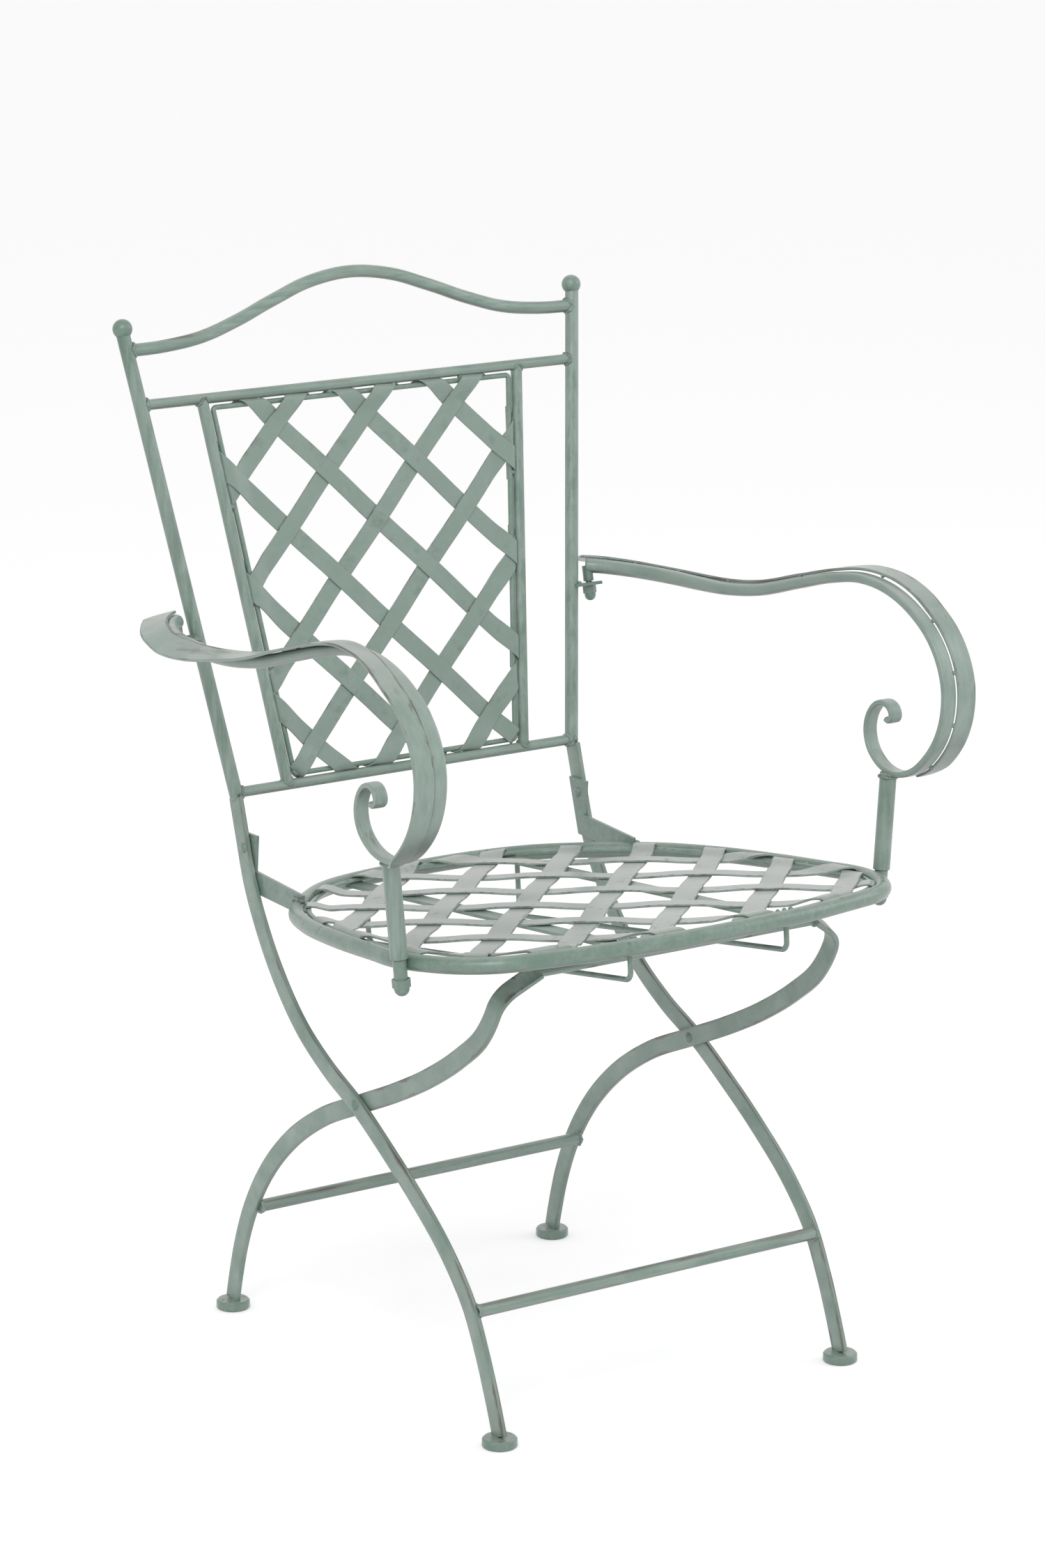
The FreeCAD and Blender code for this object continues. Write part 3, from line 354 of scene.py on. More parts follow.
def running_length(line):
    """Each point's distance from the start, along the line."""
    steps = np.linalg.norm(np.diff(line, axis=0), axis=1)
    return np.concatenate([[0.0], np.cumsum(steps)])


def places_at(line, run, at):
    """Places at given distances along the line, between its points."""
    return np.column_stack([np.interp(at, run, line[:, k]) for k in range(3)])


def even_path(curve, spacing, closed=False):
    """The same line with stations at equal distances, found by interpolating along its running length."""
    run = running_length(curve)
    count = max(2, int(round(run[-1] / spacing)) + 1)
    even = places_at(curve, run, np.linspace(0.0, run[-1], count))
    return even[:-1] if closed else even


def directions(path, reference, closed=False):
    """Along, out and away for each station: out is the reference less its part along the path."""
    if closed:
        along = unit(np.roll(path, -1, axis=0) - np.roll(path, 1, axis=0))
    else:
        along = unit(np.gradient(path, axis=0))
    reference = np.broadcast_to(np.asarray(reference, float), path.shape)
    out = unit(reference - along * np.sum(along * reference, axis=1, keepdims=True))
    return along, out, np.cross(out, along)


# %% Profiles and meshes
CORNER_STEPS = 4
EDGE_BAND = 1.6 * MM  # how far wear reaches in from a corner
RING_POINTS = 28
END_SHARES = (0.04, 0.15, 0.35, 0.65, 1.0)


def bar_profile(half_width, half_thick, corner):
    """A rectangle with rounded corners, as arrays across and through, and an edge value.

    Each corner is a quarter circle. A point on either side of it, a little way in, has edge value nought, so
    that wear drawn by the edge value stays near the corner.
    """
    half_width, half_thick, corner = (np.atleast_1d(np.asarray(v, float))[:, None]
                                      for v in (half_width, half_thick, corner))
    across, through, edge = [], [], []
    quarter = np.linspace(0.0, math.pi / 2, CORNER_STEPS)
    for k, (sx, sy) in enumerate(((1, 1), (-1, 1), (-1, -1), (1, -1))):
        angle = quarter + k * math.pi / 2
        across.append(sx * (half_width - corner) + corner * np.cos(angle))
        through.append(sy * (half_thick - corner) + corner * np.sin(angle))
        edge.append(np.ones(CORNER_STEPS))
        wide = k % 2 == 0
        for share in (1, -1):
            if wide:
                inset = np.minimum(EDGE_BAND, 0.4 * half_width)
                across.append(share * sx * (half_width - corner - inset))
                through.append(sy * half_thick)
            else:
                across.append(sx * half_width)
                through.append(share * sy * (half_thick - corner) * 0.5)
            edge.append(np.zeros(1))
    rows = np.broadcast_shapes(*[a.shape[:1] for a in across])[0]
    across = np.hstack([np.broadcast_to(a, (rows, a.shape[1])) for a in across])
    through = np.hstack([np.broadcast_to(t, (rows, t.shape[1])) for t in through])
    return across, through, np.concatenate(edge)


def ring_profile(half_width, half_thick, power=1.0, count=RING_POINTS):
    """An oval whose sines and cosines are raised to a power: one is an ellipse, and less is squarer."""
    half_width, half_thick, power = (np.atleast_1d(np.asarray(v, float))[:, None]
                                     for v in (half_width, half_thick, power))
    turn = (np.arange(count) + 0.5) / count * 2 * math.pi
    c, s = np.cos(turn)[None], np.sin(turn)[None]
    across = half_width * np.sign(c) * np.abs(c) ** power
    through = half_thick * np.sign(s) * np.abs(s) ** power
    return across, through, np.zeros(count)


class Part:
    """Rings of points gathered into one mesh, with an edge value for each point."""

    def __init__(self):
        self.points, self.faces, self.edges = [], [], []
        self.count = 0

    def add_rings(self, rings, edge, closed=False):
        """Quads between neighbouring rings of points; open ends are closed by one face each."""
        rows, columns = rings.shape[:2]
        row = np.arange(rows if closed else rows - 1)[:, None]
        column = np.arange(columns)[None]
        a = row * columns + column
        b = row * columns + (column + 1) % columns
        c = (row + 1) % rows * columns + (column + 1) % columns
        d = (row + 1) % rows * columns + column
        quads = np.stack([a, b, c, d], axis=-1).reshape(-1, 4) + self.count
        self.faces.extend(quads.tolist())
        if not closed:
            self.faces.append((np.arange(columns)[::-1] + self.count).tolist())
            self.faces.append((np.arange(columns) + (rows - 1) * columns + self.count).tolist())
        self.points.append(rings.reshape(-1, 3))
        self.edges.append(np.broadcast_to(edge, (rows, columns)).reshape(-1))
        self.count += rows * columns
        return self

    def build(self, name, body, material, replaces=(), weld=0.0):
        """The finished object, riding on its body. Weld is one where the paint takes it for a weld."""
        points = np.vstack(self.points)
        mesh = bpy.data.meshes.new(name)
        mesh.from_pydata(points.tolist(), [], self.faces)
        kept = (("edge", np.concatenate(self.edges)), ("weld", np.full(len(points), weld)))
        for label, values in kept:
            attribute = mesh.attributes.new(label, "FLOAT", "POINT")
            attribute.data.foreach_set("value", values.astype(np.float32))
        mesh.polygons.foreach_set("use_smooth", np.ones(len(mesh.polygons), bool))
        mesh.update()
        piece = added(name, mesh)
        mesh.materials.append(material)
        outward(mesh)
        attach(piece, body)
        if replaces:
            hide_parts(*replaces)


def outward(mesh):
    """Turns every closed shell's faces outwards."""
    shape = bmesh.new()
    shape.from_mesh(mesh)
    bmesh.ops.recalc_face_normals(shape, faces=shape.faces)
    shape.to_mesh(mesh)
    shape.free()


def carried(path, reference, profile, closed=False):
    """The profile at every station: path + out times across + away times through."""
    across, through, edge = profile
    along, out, away = directions(path, reference, closed)
    across = np.broadcast_to(across, (len(path), across.shape[1]))
    through = np.broadcast_to(through, (len(path), through.shape[1]))
    rings = path[:, None] + out[:, None] * across[..., None] + away[:, None] * through[..., None]
    return rings, edge


def add_end_stations(path, softness):
    """More stations close to both ends, and how far the section is drawn in at each, to round the ends.

    It is drawn in by a quarter circle: r (1 - sqrt(1 - d d)), d rising from nought at r from the end to one.
    """
    run = running_length(path)
    near = softness * np.array(END_SHARES)
    at = np.unique(np.concatenate([run, near, run[-1] - near]))
    close = np.minimum(at, run[-1] - at)
    depth = np.clip(1.0 - close / softness, 0.0, 1.0)
    return places_at(path, run, at), softness * (1.0 - np.sqrt(1.0 - depth ** 2))


# %% [markdown]
# ## The leaning back and the sloping seat
#
# Both woven panels are flat. Each has its own coordinates: across, along, and out of the plane. Two small
# functions turn those into places in the frame, from the lean of the back and the slope of the seat.

# %% Panel coordinates
BACK_FOOT = np.array([0.0, 195.0, 515.0])
BACK_LEAN = math.radians(11.5)
SEAT_HEIGHT = 430.7
SEAT_TILT = math.radians(4.6)
WEAVE_LIFT = 2.4


def on_back(across, rise, out=0.0):
    """The leaning back's plane: rise goes up the lean, and out goes to the front.

    Millimetres go in, and metres come back.
    """
    across, rise, out = np.broadcast_arrays(across, rise, out)
    y = BACK_FOOT[1] + rise * math.sin(BACK_LEAN) - out * math.cos(BACK_LEAN)
    z = BACK_FOOT[2] + rise * math.cos(BACK_LEAN) + out * math.sin(BACK_LEAN)
    return np.stack([across, y, z], axis=-1) * MM


def on_seat(across, along, up):
    """The seat's plane: along goes down the slope to the back, and up goes out of the seat."""
    across, along, up = np.broadcast_arrays(across, along, up)
    y = along * math.cos(SEAT_TILT) + up * math.sin(SEAT_TILT)
    z = SEAT_HEIGHT - along * math.sin(SEAT_TILT) + up * math.cos(SEAT_TILT)
    return np.stack([across, y, z], axis=-1) * MM


# %% [markdown]
# ## Woven straps
#
# Each strap runs at 45 degrees, over one strap and under the next, and its ends are bent round a thin rod.
# The weave is a cosine made flatter at its tops, so that straps lie flat where they cross. The rod is a
# closed line in the panel's plane. Inside it a strap keeps its place, and rises to the rod's front as it
# comes near. Past the rod, the distance that is left becomes an angle round the rod, which bends the end
# round it.

# %% Strap weaving
CROSSING_GAP = 0.06  # between the weave's middle plane and a strap's face, where two cross
ROD_GAP = 0.1  # between a strap's bent end and the rod
STRAP_CORNER = 0.42  # corner radius as a share of the thickness
STRAP_LINES = 7
STRAP_STATION = 3.0
END_STATIONS = 14
END_LENGTH = 1.9  # length with the closer stations, as a share of the bent end's
PROBES = 900
RISE_FROM = 22.0  # inside the rod's line, where a strap starts to rise to it
RISE_TO = 2.0


class Weave(NamedTuple):
    """A panel's straps, in millimetres.

    The strap with count nought crosses the chair's middle at middle, and the next a double pitch on. No strap
    is longer than reach either way. The wrap round the rod is an angle in radians.
    """

    middle: float
    pitch: float
    width: float
    thickness: float
    rod: float
    counts: range
    reach: float
    wrap_turn: float


def inside_line(points, line):
    """How far inside a closed line each point is (outside is negative), its nearest place, and the way out.

    Every straight piece of the line offers its nearest place, and the closest is kept. A point is inside when
    a level ray from it crosses the line an odd number of times. The way out goes through the nearest place.
    """
    ahead = np.roll(line, -1, axis=0)
    run = ahead - line
    offset = points[:, None] - line[None]
    share = np.clip(np.sum(offset * run, axis=-1) / np.sum(run * run, axis=-1), 0.0, 1.0)
    near = line[None] + run[None] * share[..., None]
    gap = np.linalg.norm(points[:, None] - near, axis=-1)
    best = np.argmin(gap, axis=1)
    rows = np.arange(len(points))
    foot, gap = near[rows, best], gap[rows, best]
    spans = (line[None, :, 1] > points[:, None, 1]) != (ahead[None, :, 1] > points[:, None, 1])
    level = np.where(np.abs(run[:, 1]) > 1e-12, run[:, 1], 1e-12)
    crossing = line[None, :, 0] + run[None, :, 0] * (points[:, None, 1] - line[None, :, 1]) / level[None]
    inside = np.sum(spans & (points[:, None, 0] < crossing), axis=1) % 2 == 1
    away = (points - foot) / np.maximum(gap, 1e-9)[:, None]
    return np.where(inside, gap, -gap), foot, np.where(inside[:, None], -away, away)


def weave_height(distance, step):
    """A cosine with flattened tops: c(1.5 - 0.5 c c), where c is the cosine of half a turn for each step."""
    c = np.cos(math.pi * distance / step)
    return c * (1.5 - 0.5 * c * c)


def strap_ends(flat, line, keys, reach, tail):
    """For each line along the strap, where it starts and stops: a tail's length outside the rod's line."""
    probe = np.linspace(-reach, reach, PROBES)
    places = flat(probe[None], keys[:, None])
    inside = inside_line(places.reshape(-1, 2), line)[0].reshape(places.shape[:2])
    ends = []
    for row in inside:
        seed = int(np.argmax(row))
        first = last = seed
        while first > 0 and row[first - 1] > -tail:
            first -= 1
        while last < len(row) - 1 and row[last + 1] > -tail:
            last += 1
        ends.append((probe[first], probe[last]))
    return np.array(ends)


def bent_strap(place, line, weave, offset, slope):
    """One strap as rings of points, each end bent round the rod.

    The strap's middle surface is a grid: shares of its length by lines across its width. A rounded rectangle
    is then set across it, using the surface's own normal.
    """
    width = weave.width
    lift = weave.thickness / 2 + CROSSING_GAP
    radius = weave.rod / 2 + weave.thickness / 2 + lift + ROD_GAP
    way = np.array([math.sqrt(0.5), slope * math.sqrt(0.5)])
    across_way = np.array([-way[1], way[0]])
    centre = np.array([0.0, offset])

    def flat(s, t):
        """Places in the panel's plane, s along the strap and t across it."""
        return centre + s[..., None] * way + t[..., None] * across_way

    keys = np.linspace(-width / 2, width / 2, STRAP_LINES)
    tail = radius * weave.wrap_turn
    low, high = strap_ends(flat, line, keys, weave.reach, tail).T
    core = np.linspace(0.0, 1.0, int((high.max() - low.min()) / STRAP_STATION))
    fine = np.linspace(0.0, 1.0, END_STATIONS) * tail * END_LENGTH / (high.mean() - low.mean())
    share = np.unique(np.concatenate([core, fine, 1.0 - fine]))
    s = low[None] + (high - low)[None] * share[:, None]
    t = np.broadcast_to(keys[None], s.shape)
    found = inside_line(flat(s, t).reshape(-1, 2), line)
    inside, foot, outwards = (values.reshape(*s.shape, -1) for values in found)
    over = (slope * lift * weave_height(s, weave.pitch * math.sqrt(2.0)))[..., None]
    near = eased(RISE_FROM, RISE_TO, inside)
    turn = np.clip(-inside, 0.0, None) / radius
    bend = radius + over
    spot = np.where(inside > 0, flat(s, t), foot + outwards * bend * np.sin(turn))
    height = np.where(inside > 0, radius * near + over, bend * np.cos(turn))
    middle = place(spot[..., 0], spot[..., 1], height[..., 0])
    normal = unit(np.cross(np.gradient(middle, axis=0), np.gradient(middle, axis=1)))

    across, through, edge = bar_profile(width / 2, weave.thickness / 2, weave.thickness * STRAP_CORNER)
    column = (across[0] + width / 2) / width * (len(keys) - 1)
    left = np.clip(column.astype(int), 0, len(keys) - 2)
    part = (column - left)[None, :, None]
    middle = middle[:, left] * (1 - part) + middle[:, left + 1] * part
    normal = unit(normal[:, left] * (1 - part) + normal[:, left + 1] * part)
    return middle + normal * through[0][None, :, None] * MM, edge


def woven(panel, body, place, line, weave):
    """All straps of a panel, as one piece for each way that they run."""
    for kind, slope in (("rising", 1.0), ("falling", -1.0)):
        part = Part()
        for count in weave.counts:
            offset = weave.middle + 2 * weave.pitch * count
            part.add_rings(*bent_strap(place, line, weave, offset, slope))
        name = f"{panel}_straps_{kind}"
        part.build(name + "_woven", body, paint_strap, (name,))


# %% Back straps
UPPER_RAIL_RISE = 364.4
LOWER_RAIL_RISE = -2.4
STILE_HALF_LOW = 135.5
STILE_HALF_HIGH = 178.5
PANEL_LOW = 6.7
PANEL_HIGH = 355.3
PANEL_INSET = 9.6
BACK_WEAVE = Weave(middle=234.5, pitch=50.4, width=18.0, thickness=1.5, rod=5.0, counts=range(-3, 3),
                   reach=460.0, wrap_turn=3.4)


def stile_half(rise):
    """The stile's distance from the middle at a height up the lean."""
    return STILE_HALF_LOW + (STILE_HALF_HIGH - STILE_HALF_LOW) * rise / UPPER_RAIL_RISE


def panel_line():
    """The back rod's line: its four corners, inside the stiles by the inset."""
    low, high = (stile_half(rise) - PANEL_INSET for rise in (PANEL_LOW, PANEL_HIGH))
    return np.array([[-low, PANEL_LOW], [low, PANEL_LOW], [high, PANEL_HIGH], [-high, PANEL_HIGH]])


woven("back", "back_frame", on_back, panel_line(), BACK_WEAVE)

# %% Seat straps
RIM_HALF = ((0.0, 175.0), (60.0, 172.0), (118.0, 155.5), (167.1, 117.0), (205.9, 71.0), (230.0, 15.0),
            (243.5, -44.0), (252.4, -112.0), (255.5, -186.0), (226.1, -245.0), (145.1, -275.0),
            (68.0, -285.5), (0.0, -288.0))
RIM_STATION = 4.0
ROD_INSIDE = 11.1
SEAT_WEAVE = Weave(middle=-17.7, pitch=50.8, width=22.0, thickness=2.0, rod=5.0, counts=range(-4, 3),
                   reach=620.0, wrap_turn=2.6)


def seat_line():
    """The seat rod's line: the rim's middle line, from its right half and the mirror image, moved inwards."""
    half = np.array(RIM_HALF)
    half[:, 1] /= math.cos(SEAT_TILT)
    whole = np.vstack([half, half[-2:0:-1] * [-1.0, 1.0]])
    rim = smooth_path(np.column_stack([whole, np.zeros(len(whole))]), RIM_STATION, closed=True)
    along = unit(np.roll(rim, -1, axis=0) - np.roll(rim, 1, axis=0))
    inwards = np.cross(along, [0.0, 0.0, 1.0])
    return (rim + inwards * ROD_INSIDE)[:, :2]


def on_weave(across, along, up):
    """The seat's plane at the height of its straps."""
    return on_seat(across, along, up + WEAVE_LIFT)


woven("seat", "seat", on_weave, seat_line(), SEAT_WEAVE)

# %% [markdown]
# ## Curved leg bars
#
# The legs are flat bars bent edgewise into long curves. Both pairs lie in upright planes, and the rear
# pair's tops are also bent flatwise, inwards to the slide bar. Keeping the bar's thin direction as near to
# the chair's left to right line as the path allows gives both bends without a special case.

# %% Leg bars
BAR_WIDTH = 18.0
BAR_THICK = 5.0
BAR_CORNER = 0.9
BAR_END = 0.8  # rounding of its ends
BAR_STATION = 3.0
FRONT_BAR_X = 193.3
REAR_BAR_X = 187.8
FRONT_LEG = ((193.0, 509.0), (184.0, 478.0), (168.3, 428.0), (147.5, 388.0), (117.5, 346.0), (84.0, 312.0),
             (40.0, 283.0), (-7.0, 260.0), (-54.0, 231.0), (-105.0, 196.0), (-154.0, 156.0), (-187.0, 118.0),
             (-208.0, 77.0), (-223.0, 40.0), (-234.0, 9.0))
REAR_LEG = ((219.0, 9.0), (212.0, 38.0), (203.0, 68.0), (183.0, 113.0), (155.0, 154.0), (113.0, 195.0),
            (58.0, 231.0), (-7.0, 260.0), (-62.0, 284.0), (-118.0, 312.0), (-166.0, 342.0), (-199.0, 368.5),
            (-217.5, 396.0))
TOP_SLOPE = math.radians(64.0)
TOP_RADIUS = 30.0
TOP_TURN = math.radians(55.0)
TOP_STRAIGHT = 28.0


def leg_bar(name, body, path):
    """A rounded rectangle carried along the path, thin way across the chair."""
    path, inset = add_end_stations(path, BAR_END * MM)
    profile = bar_profile(BAR_THICK / 2 * MM - inset, BAR_WIDTH / 2 * MM - inset, BAR_CORNER * MM)
    rings, edge = carried(path, (1.0, 0.0, 0.0), profile)
    Part().add_rings(rings, edge).build(name + "_bar", body, paint_bar, (name,))


def side_path(points, x):
    """Points of an upright plane at a distance x from the middle."""
    flat = np.array(points)
    return np.column_stack([np.full(len(flat), x), flat]) * MM


def rear_top(x, side):
    """The flatwise bend: an arc that leaves the leg's line and turns to the middle, then a straight run."""
    start = np.array([x, *REAR_LEG[-1]])
    forward = np.array([0.0, -math.cos(TOP_SLOPE), math.sin(TOP_SLOPE)])
    inwards = np.array([-side, 0.0, 0.0])
    turn = np.linspace(0.0, TOP_TURN, 12)[1:, None]
    arc = start + inwards * TOP_RADIUS * (1 - np.cos(turn)) + forward * TOP_RADIUS * np.sin(turn)
    run = inwards * math.sin(TOP_TURN) + forward * math.cos(TOP_TURN)
    return np.vstack([arc, arc[-1] + run * TOP_STRAIGHT]) * MM


for label, side in SIDES:
    front = smooth_path(side_path(FRONT_LEG, side * FRONT_BAR_X), BAR_STATION * MM)
    leg_bar("front_leg_" + label, "back_frame", front)
    rear = smooth_path(side_path(REAR_LEG, side * REAR_BAR_X), BAR_STATION * MM)
    rear = even_path(np.vstack([rear, rear_top(side * REAR_BAR_X, side)]), BAR_STATION * MM)
    leg_bar("rear_leg_" + label, "rear_legs", rear)

# %% [markdown]
# ## Arms
#
# An arm is one tube. It is left round at the rear, hammered flatter towards the front, and drawn out to a
# thin bar that curls into a scroll. A separate band lies on top of it at the rear, banked down outwards
# like a leaf, and slides round to its outer side before the front. Both follow the same path, so one list
# of points makes tube, band and tacks. Widths and bank angles are given at each of those points.

# %% Arm tube and band
ARM_POINTS = ((233.4, 228.5, 674.4), (243.8, 219.0, 674.0), (252.5, 207.0, 673.4), (261.2, 189.0, 672.9),
              (268.9, 166.0, 672.4), (274.5, 138.0, 672.1), (277.9, 104.0, 672.0), (279.5, 60.0, 673.9),
              (279.9, 13.0, 680.5), (280.1, -52.0, 698.0), (280.0, -100.0, 710.5), (279.8, -145.0, 717.0),
              (279.7, -187.0, 712.0), (279.7, -222.0, 697.0), (279.7, -245.0, 679.5), (279.7, -260.0, 659.0),
              (279.7, -268.0, 636.0), (279.7, -268.0, 613.0), (279.7, -260.5, 589.0), (279.7, -245.0, 567.0),
              (280.2, -221.0, 548.5), (280.7, -194.0, 542.5), (281.6, -171.0, 549.5), (282.3, -157.5, 563.0),
              (282.8, -153.5, 579.0), (283.3, -158.0, 594.0), (283.8, -168.5, 604.0), (284.3, -178.5, 605.0),
              (284.9, -185.5, 600.0), (285.0, -187.0, 593.5), (285.3, -183.3, 589.3), (285.4, -178.8, 590.8))
ARM_STATION = 2.0
ARM_ROUND = 14.0
ARM_FLAT = (14.0, 7.0)  # width and thickness, for this and the next
SCROLL = (13.7, 5.3)
SQUARER = 0.6  # taken off the oval's power where the tube is flat
FLATTEN = (4.0, 15.0)  # counts along the arm's points, for this and the next
THIN = (19.0, 22.0)
BAND_WIDTHS = (34.0, 31.0, 29.0, 26.5, 25.0, 23.5, 22.5, 22.5, 22.5, 22.0, 21.5, 21.0, 20.7)
BAND_BANKS = (20.0, 27.0, 33.0, 40.0, 47.0, 45.0, 35.0, 17.0, 9.0, 2.0, 0.0)
BAND_THICK = 2.6
BAND_CORNER = 1.0
BAND_GAP = 0.6  # light between band and tube
BAND_PROUD = 1.7  # band's face in front of the tube's, beside it
BAND_INSIDE = 2.0  # band's inner edge past the tube's axis, where it lies on top
BAND_TAIL = 8.0  # band behind the tube's end
TAIL_SHARES = (0.985, 0.96, 0.92, 0.86, 0.78, 0.66, 0.5, 0.3, 0.15)
TAIL_INSIDE = 0.7  # share of the tail's lost width that its inner edge loses
BESIDE = (9.5, 13.0)  # counts, where the band slides from the top to the outer side
BAND_TAPER = (19.4, 20.3)
BAND_TAPER_SHARE = 0.55
TACK_INSIDE = 1.5


def arm_stations(side):
    """The arm's path with, for each station, its count along the list of points."""
    points = np.array(ARM_POINTS) * [side, 1.0, 1.0] * MM
    path = smooth_path(points, ARM_STATION * MM)
    gap = np.linalg.norm(path[:, None] - points[None], axis=-1)
    order = np.argmin(gap, axis=0)
    count = np.interp(np.arange(len(path)), order, np.arange(len(points)))
    return path, count


def arm_sizes(count):
    """Half width, half thickness and squareness, blended by the count along the arm."""
    flat = eased(*FLATTEN, count)
    thin = eased(*THIN, count)
    width, thick = (ARM_ROUND + (middle - ARM_ROUND) * flat + (last - middle) * thin
                    for middle, last in zip(ARM_FLAT, SCROLL))
    return width / 2 * MM, thick / 2 * MM, 1.0 - SQUARER * flat


def arm_tube(label, side):
    """An oval that changes size and squareness along the arm."""
    path, count = arm_stations(side)
    width, thick, power = arm_sizes(count)
    rings, edge = carried(path, (side, 0.0, 0.0), ring_profile(width, thick, power))
    Part().add_rings(rings, edge).build("arm_tube_" + label, "seat", paint_arm, ("arm_bar_" + label,))


def by_count(values, count):
    """Values read off a list by count, and the last one past its end."""
    return np.interp(count, np.arange(len(values)), values)


def band_lines(path, count, out, up):
    """For each station: the band's lower inner corner, and its directions across and out of its face.

    Its inner edge moves from just past the tube's axis out to the tube's side. While it moves, a circle's
    formula, height = h sqrt(1 - lean lean), keeps it off the tube. Beside the tube, its face stands a little
    proud of the tube's.
    """
    half_w, half_t, _ = arm_sizes(count)
    bank = np.radians(by_count(BAND_BANKS, count))[:, None]
    across_way = out * np.cos(bank) - up * np.sin(bank)
    normal = out * np.sin(bank) + up * np.cos(bank)
    beside = eased(*BESIDE, count)
    side_reach = half_w / MM + BAND_GAP
    shift = (side_reach + BAND_INSIDE) * beside - BAND_INSIDE
    lean = np.clip(shift / side_reach, 0.0, 1.0)
    beyond = (half_t / MM + BAND_PROUD - BAND_THICK) * beside
    height = (half_t / MM + BAND_GAP) * np.sqrt(1.0 - lean ** 2) + beyond
    corner = path + (across_way * shift[:, None] + normal * height[:, None]) * MM
    return corner, across_way, normal


def band_frame(side):
    """The arm's stations and directions as far as the band goes; up is away from the seat on both sides."""
    path, count = arm_stations(side)
    along, out, away = directions(path, (side, 0.0, 0.0))
    keep = count <= BAND_TAPER[1]
    return path[keep], count[keep], along[0], out[keep], away[keep] * -side


def band_edge(side, at):
    """Where a tack sits between tube and band, at a count along the arm, in millimetres."""
    path, count, _, out, up = band_frame(side)
    corner, across_way, normal = band_lines(path, count, out, up)
    row = int(np.argmin(np.abs(count - at)))
    beside = float(eased(*BESIDE, at))
    inside = TACK_INSIDE - (TACK_INSIDE + BAND_GAP / 2) * beside
    up = (BAND_THICK - BAND_PROUD) / 2 * beside
    return corner[row] / MM + across_way[row] * inside + normal[row] * up


def arm_band(label, side):
    """A thin rounded rectangle that lies on the tube and then beside it; its rear end is rounded."""
    path, count, along, out, up = band_frame(side)
    tail = np.array(TAIL_SHARES) * BAND_TAIL
    path = np.vstack([path[0] - along * tail[:, None] * MM, path])
    count = np.concatenate([np.zeros(len(tail)), count])
    out, up = (np.vstack([np.repeat(way[:1], len(tail), axis=0), way]) for way in (out, up))
    corner, across_way, normal = band_lines(path, count, out, up)
    full = by_count(BAND_WIDTHS, count) * (1.0 - BAND_TAPER_SHARE * eased(*BAND_TAPER, count))
    width = full.copy()
    width[:len(tail)] *= np.sqrt(1.0 - (tail / BAND_TAIL) ** 3)
    reach = (full - width) * TAIL_INSIDE + width / 2
    middle = corner + (across_way * reach[:, None] + normal * BAND_THICK / 2) * MM
    across, through, edge = bar_profile(width / 2 * MM, BAND_THICK / 2 * MM, BAND_CORNER * MM)
    rings = (middle[:, None] + across_way[:, None] * across[..., None]
             + normal[:, None] * through[..., None])
    Part().add_rings(rings, edge).build("arm_strip_" + label, "seat", paint_arm, ("arm_band_" + label,))


for label, side in SIDES:
    arm_tube(label, side)
    arm_band(label, side)

# %% [markdown]
# ## Welds
#
# Every joint of the real chair is an arc weld, left as a lumpy bead and painted over. A bead is an oval
# carried round a closed curve. Where a tube meets a bigger one, that curve is a saddle: at angle t round
# the small tube it stands sqrt(R R - (r sin t)(r sin t)) from the big tube's axis. Two sines make the
# bead's thickness uneven. Tacks are balls whose radius varies in the same way.

# %% Weld beads
UPRIGHT_HALF_LOW = 193.0
UPRIGHT_HALF_HIGH = 254.0
UPRIGHT_RISE = 436.0
UPRIGHT_R = 6.5
RAIL_R = 5.0
CROWN_R = 6.0
STILE_R = 5.5
CROWN_RISE = 415.6
RAILS = ((UPPER_RAIL_RISE, RAIL_R), (LOWER_RAIL_RISE, RAIL_R), (CROWN_RISE, CROWN_R))
FRONT_STRETCHER = (190.8, -196.0, 115.0)
REAR_STRETCHER = (185.3, 172.0, 114.0)
STRETCHER_R = 6.0
SLIDE_BAR_END = (154.0, -234.2, 430.2)
SLIDE_BAR_R = 4.5
POST_FOOT = np.array([268.8, -190.5, 452.0])
POST_TOP = np.array([276.5, -189.0, 542.5])
POST_R = 7.9
POST_BEAD_DOWN = 4.0
RAIL_BEAD = 1.7  # thickness of a bead, for this and the next two
LEG_BEAD = 1.6
STILE_BEAD = 1.5
BEAD_STEPS = 28
BEAD_POINTS = 10
LUMP_RINGS = 9
LUMP_POINTS = 12
LUMP_POLE = 0.47  # last ring, in half turns from the middle

# Single tacks: their places, and each kind's radius
LUG_RISE = 145.0
LUG_TACKS = (-7.0, -3.0, 1.5, 6.0)
LUG_TACK_OUT = 6.0
LUG_TACK_UP = 1.6
LUG_TACK_R = 2.3
FOOT_TACKS = (-7.5, -2.0)
FOOT_TACK_FORWARD = 6.0
FOOT_TACK_R = 2.6
BRACKET_TACKS = ((191.2, 84.0, 432.08), (191.2, 89.0, 431.68), (191.2, 94.0, 431.28),
                 (191.2, 99.0, 430.88))
SLIDE_TACKS = (79.0, 86.5, 94.0)
SLIDE_TACK_PLACE = (-279.0, 6.0)
SEAT_TACK_R = 2.4
BAND_TACKS = (1.0, 3.0, 5.0, 7.0, 9.0, 11.5, 13.5, 15.5, 17.5, 19.5)
BAND_TACK_R = 2.0


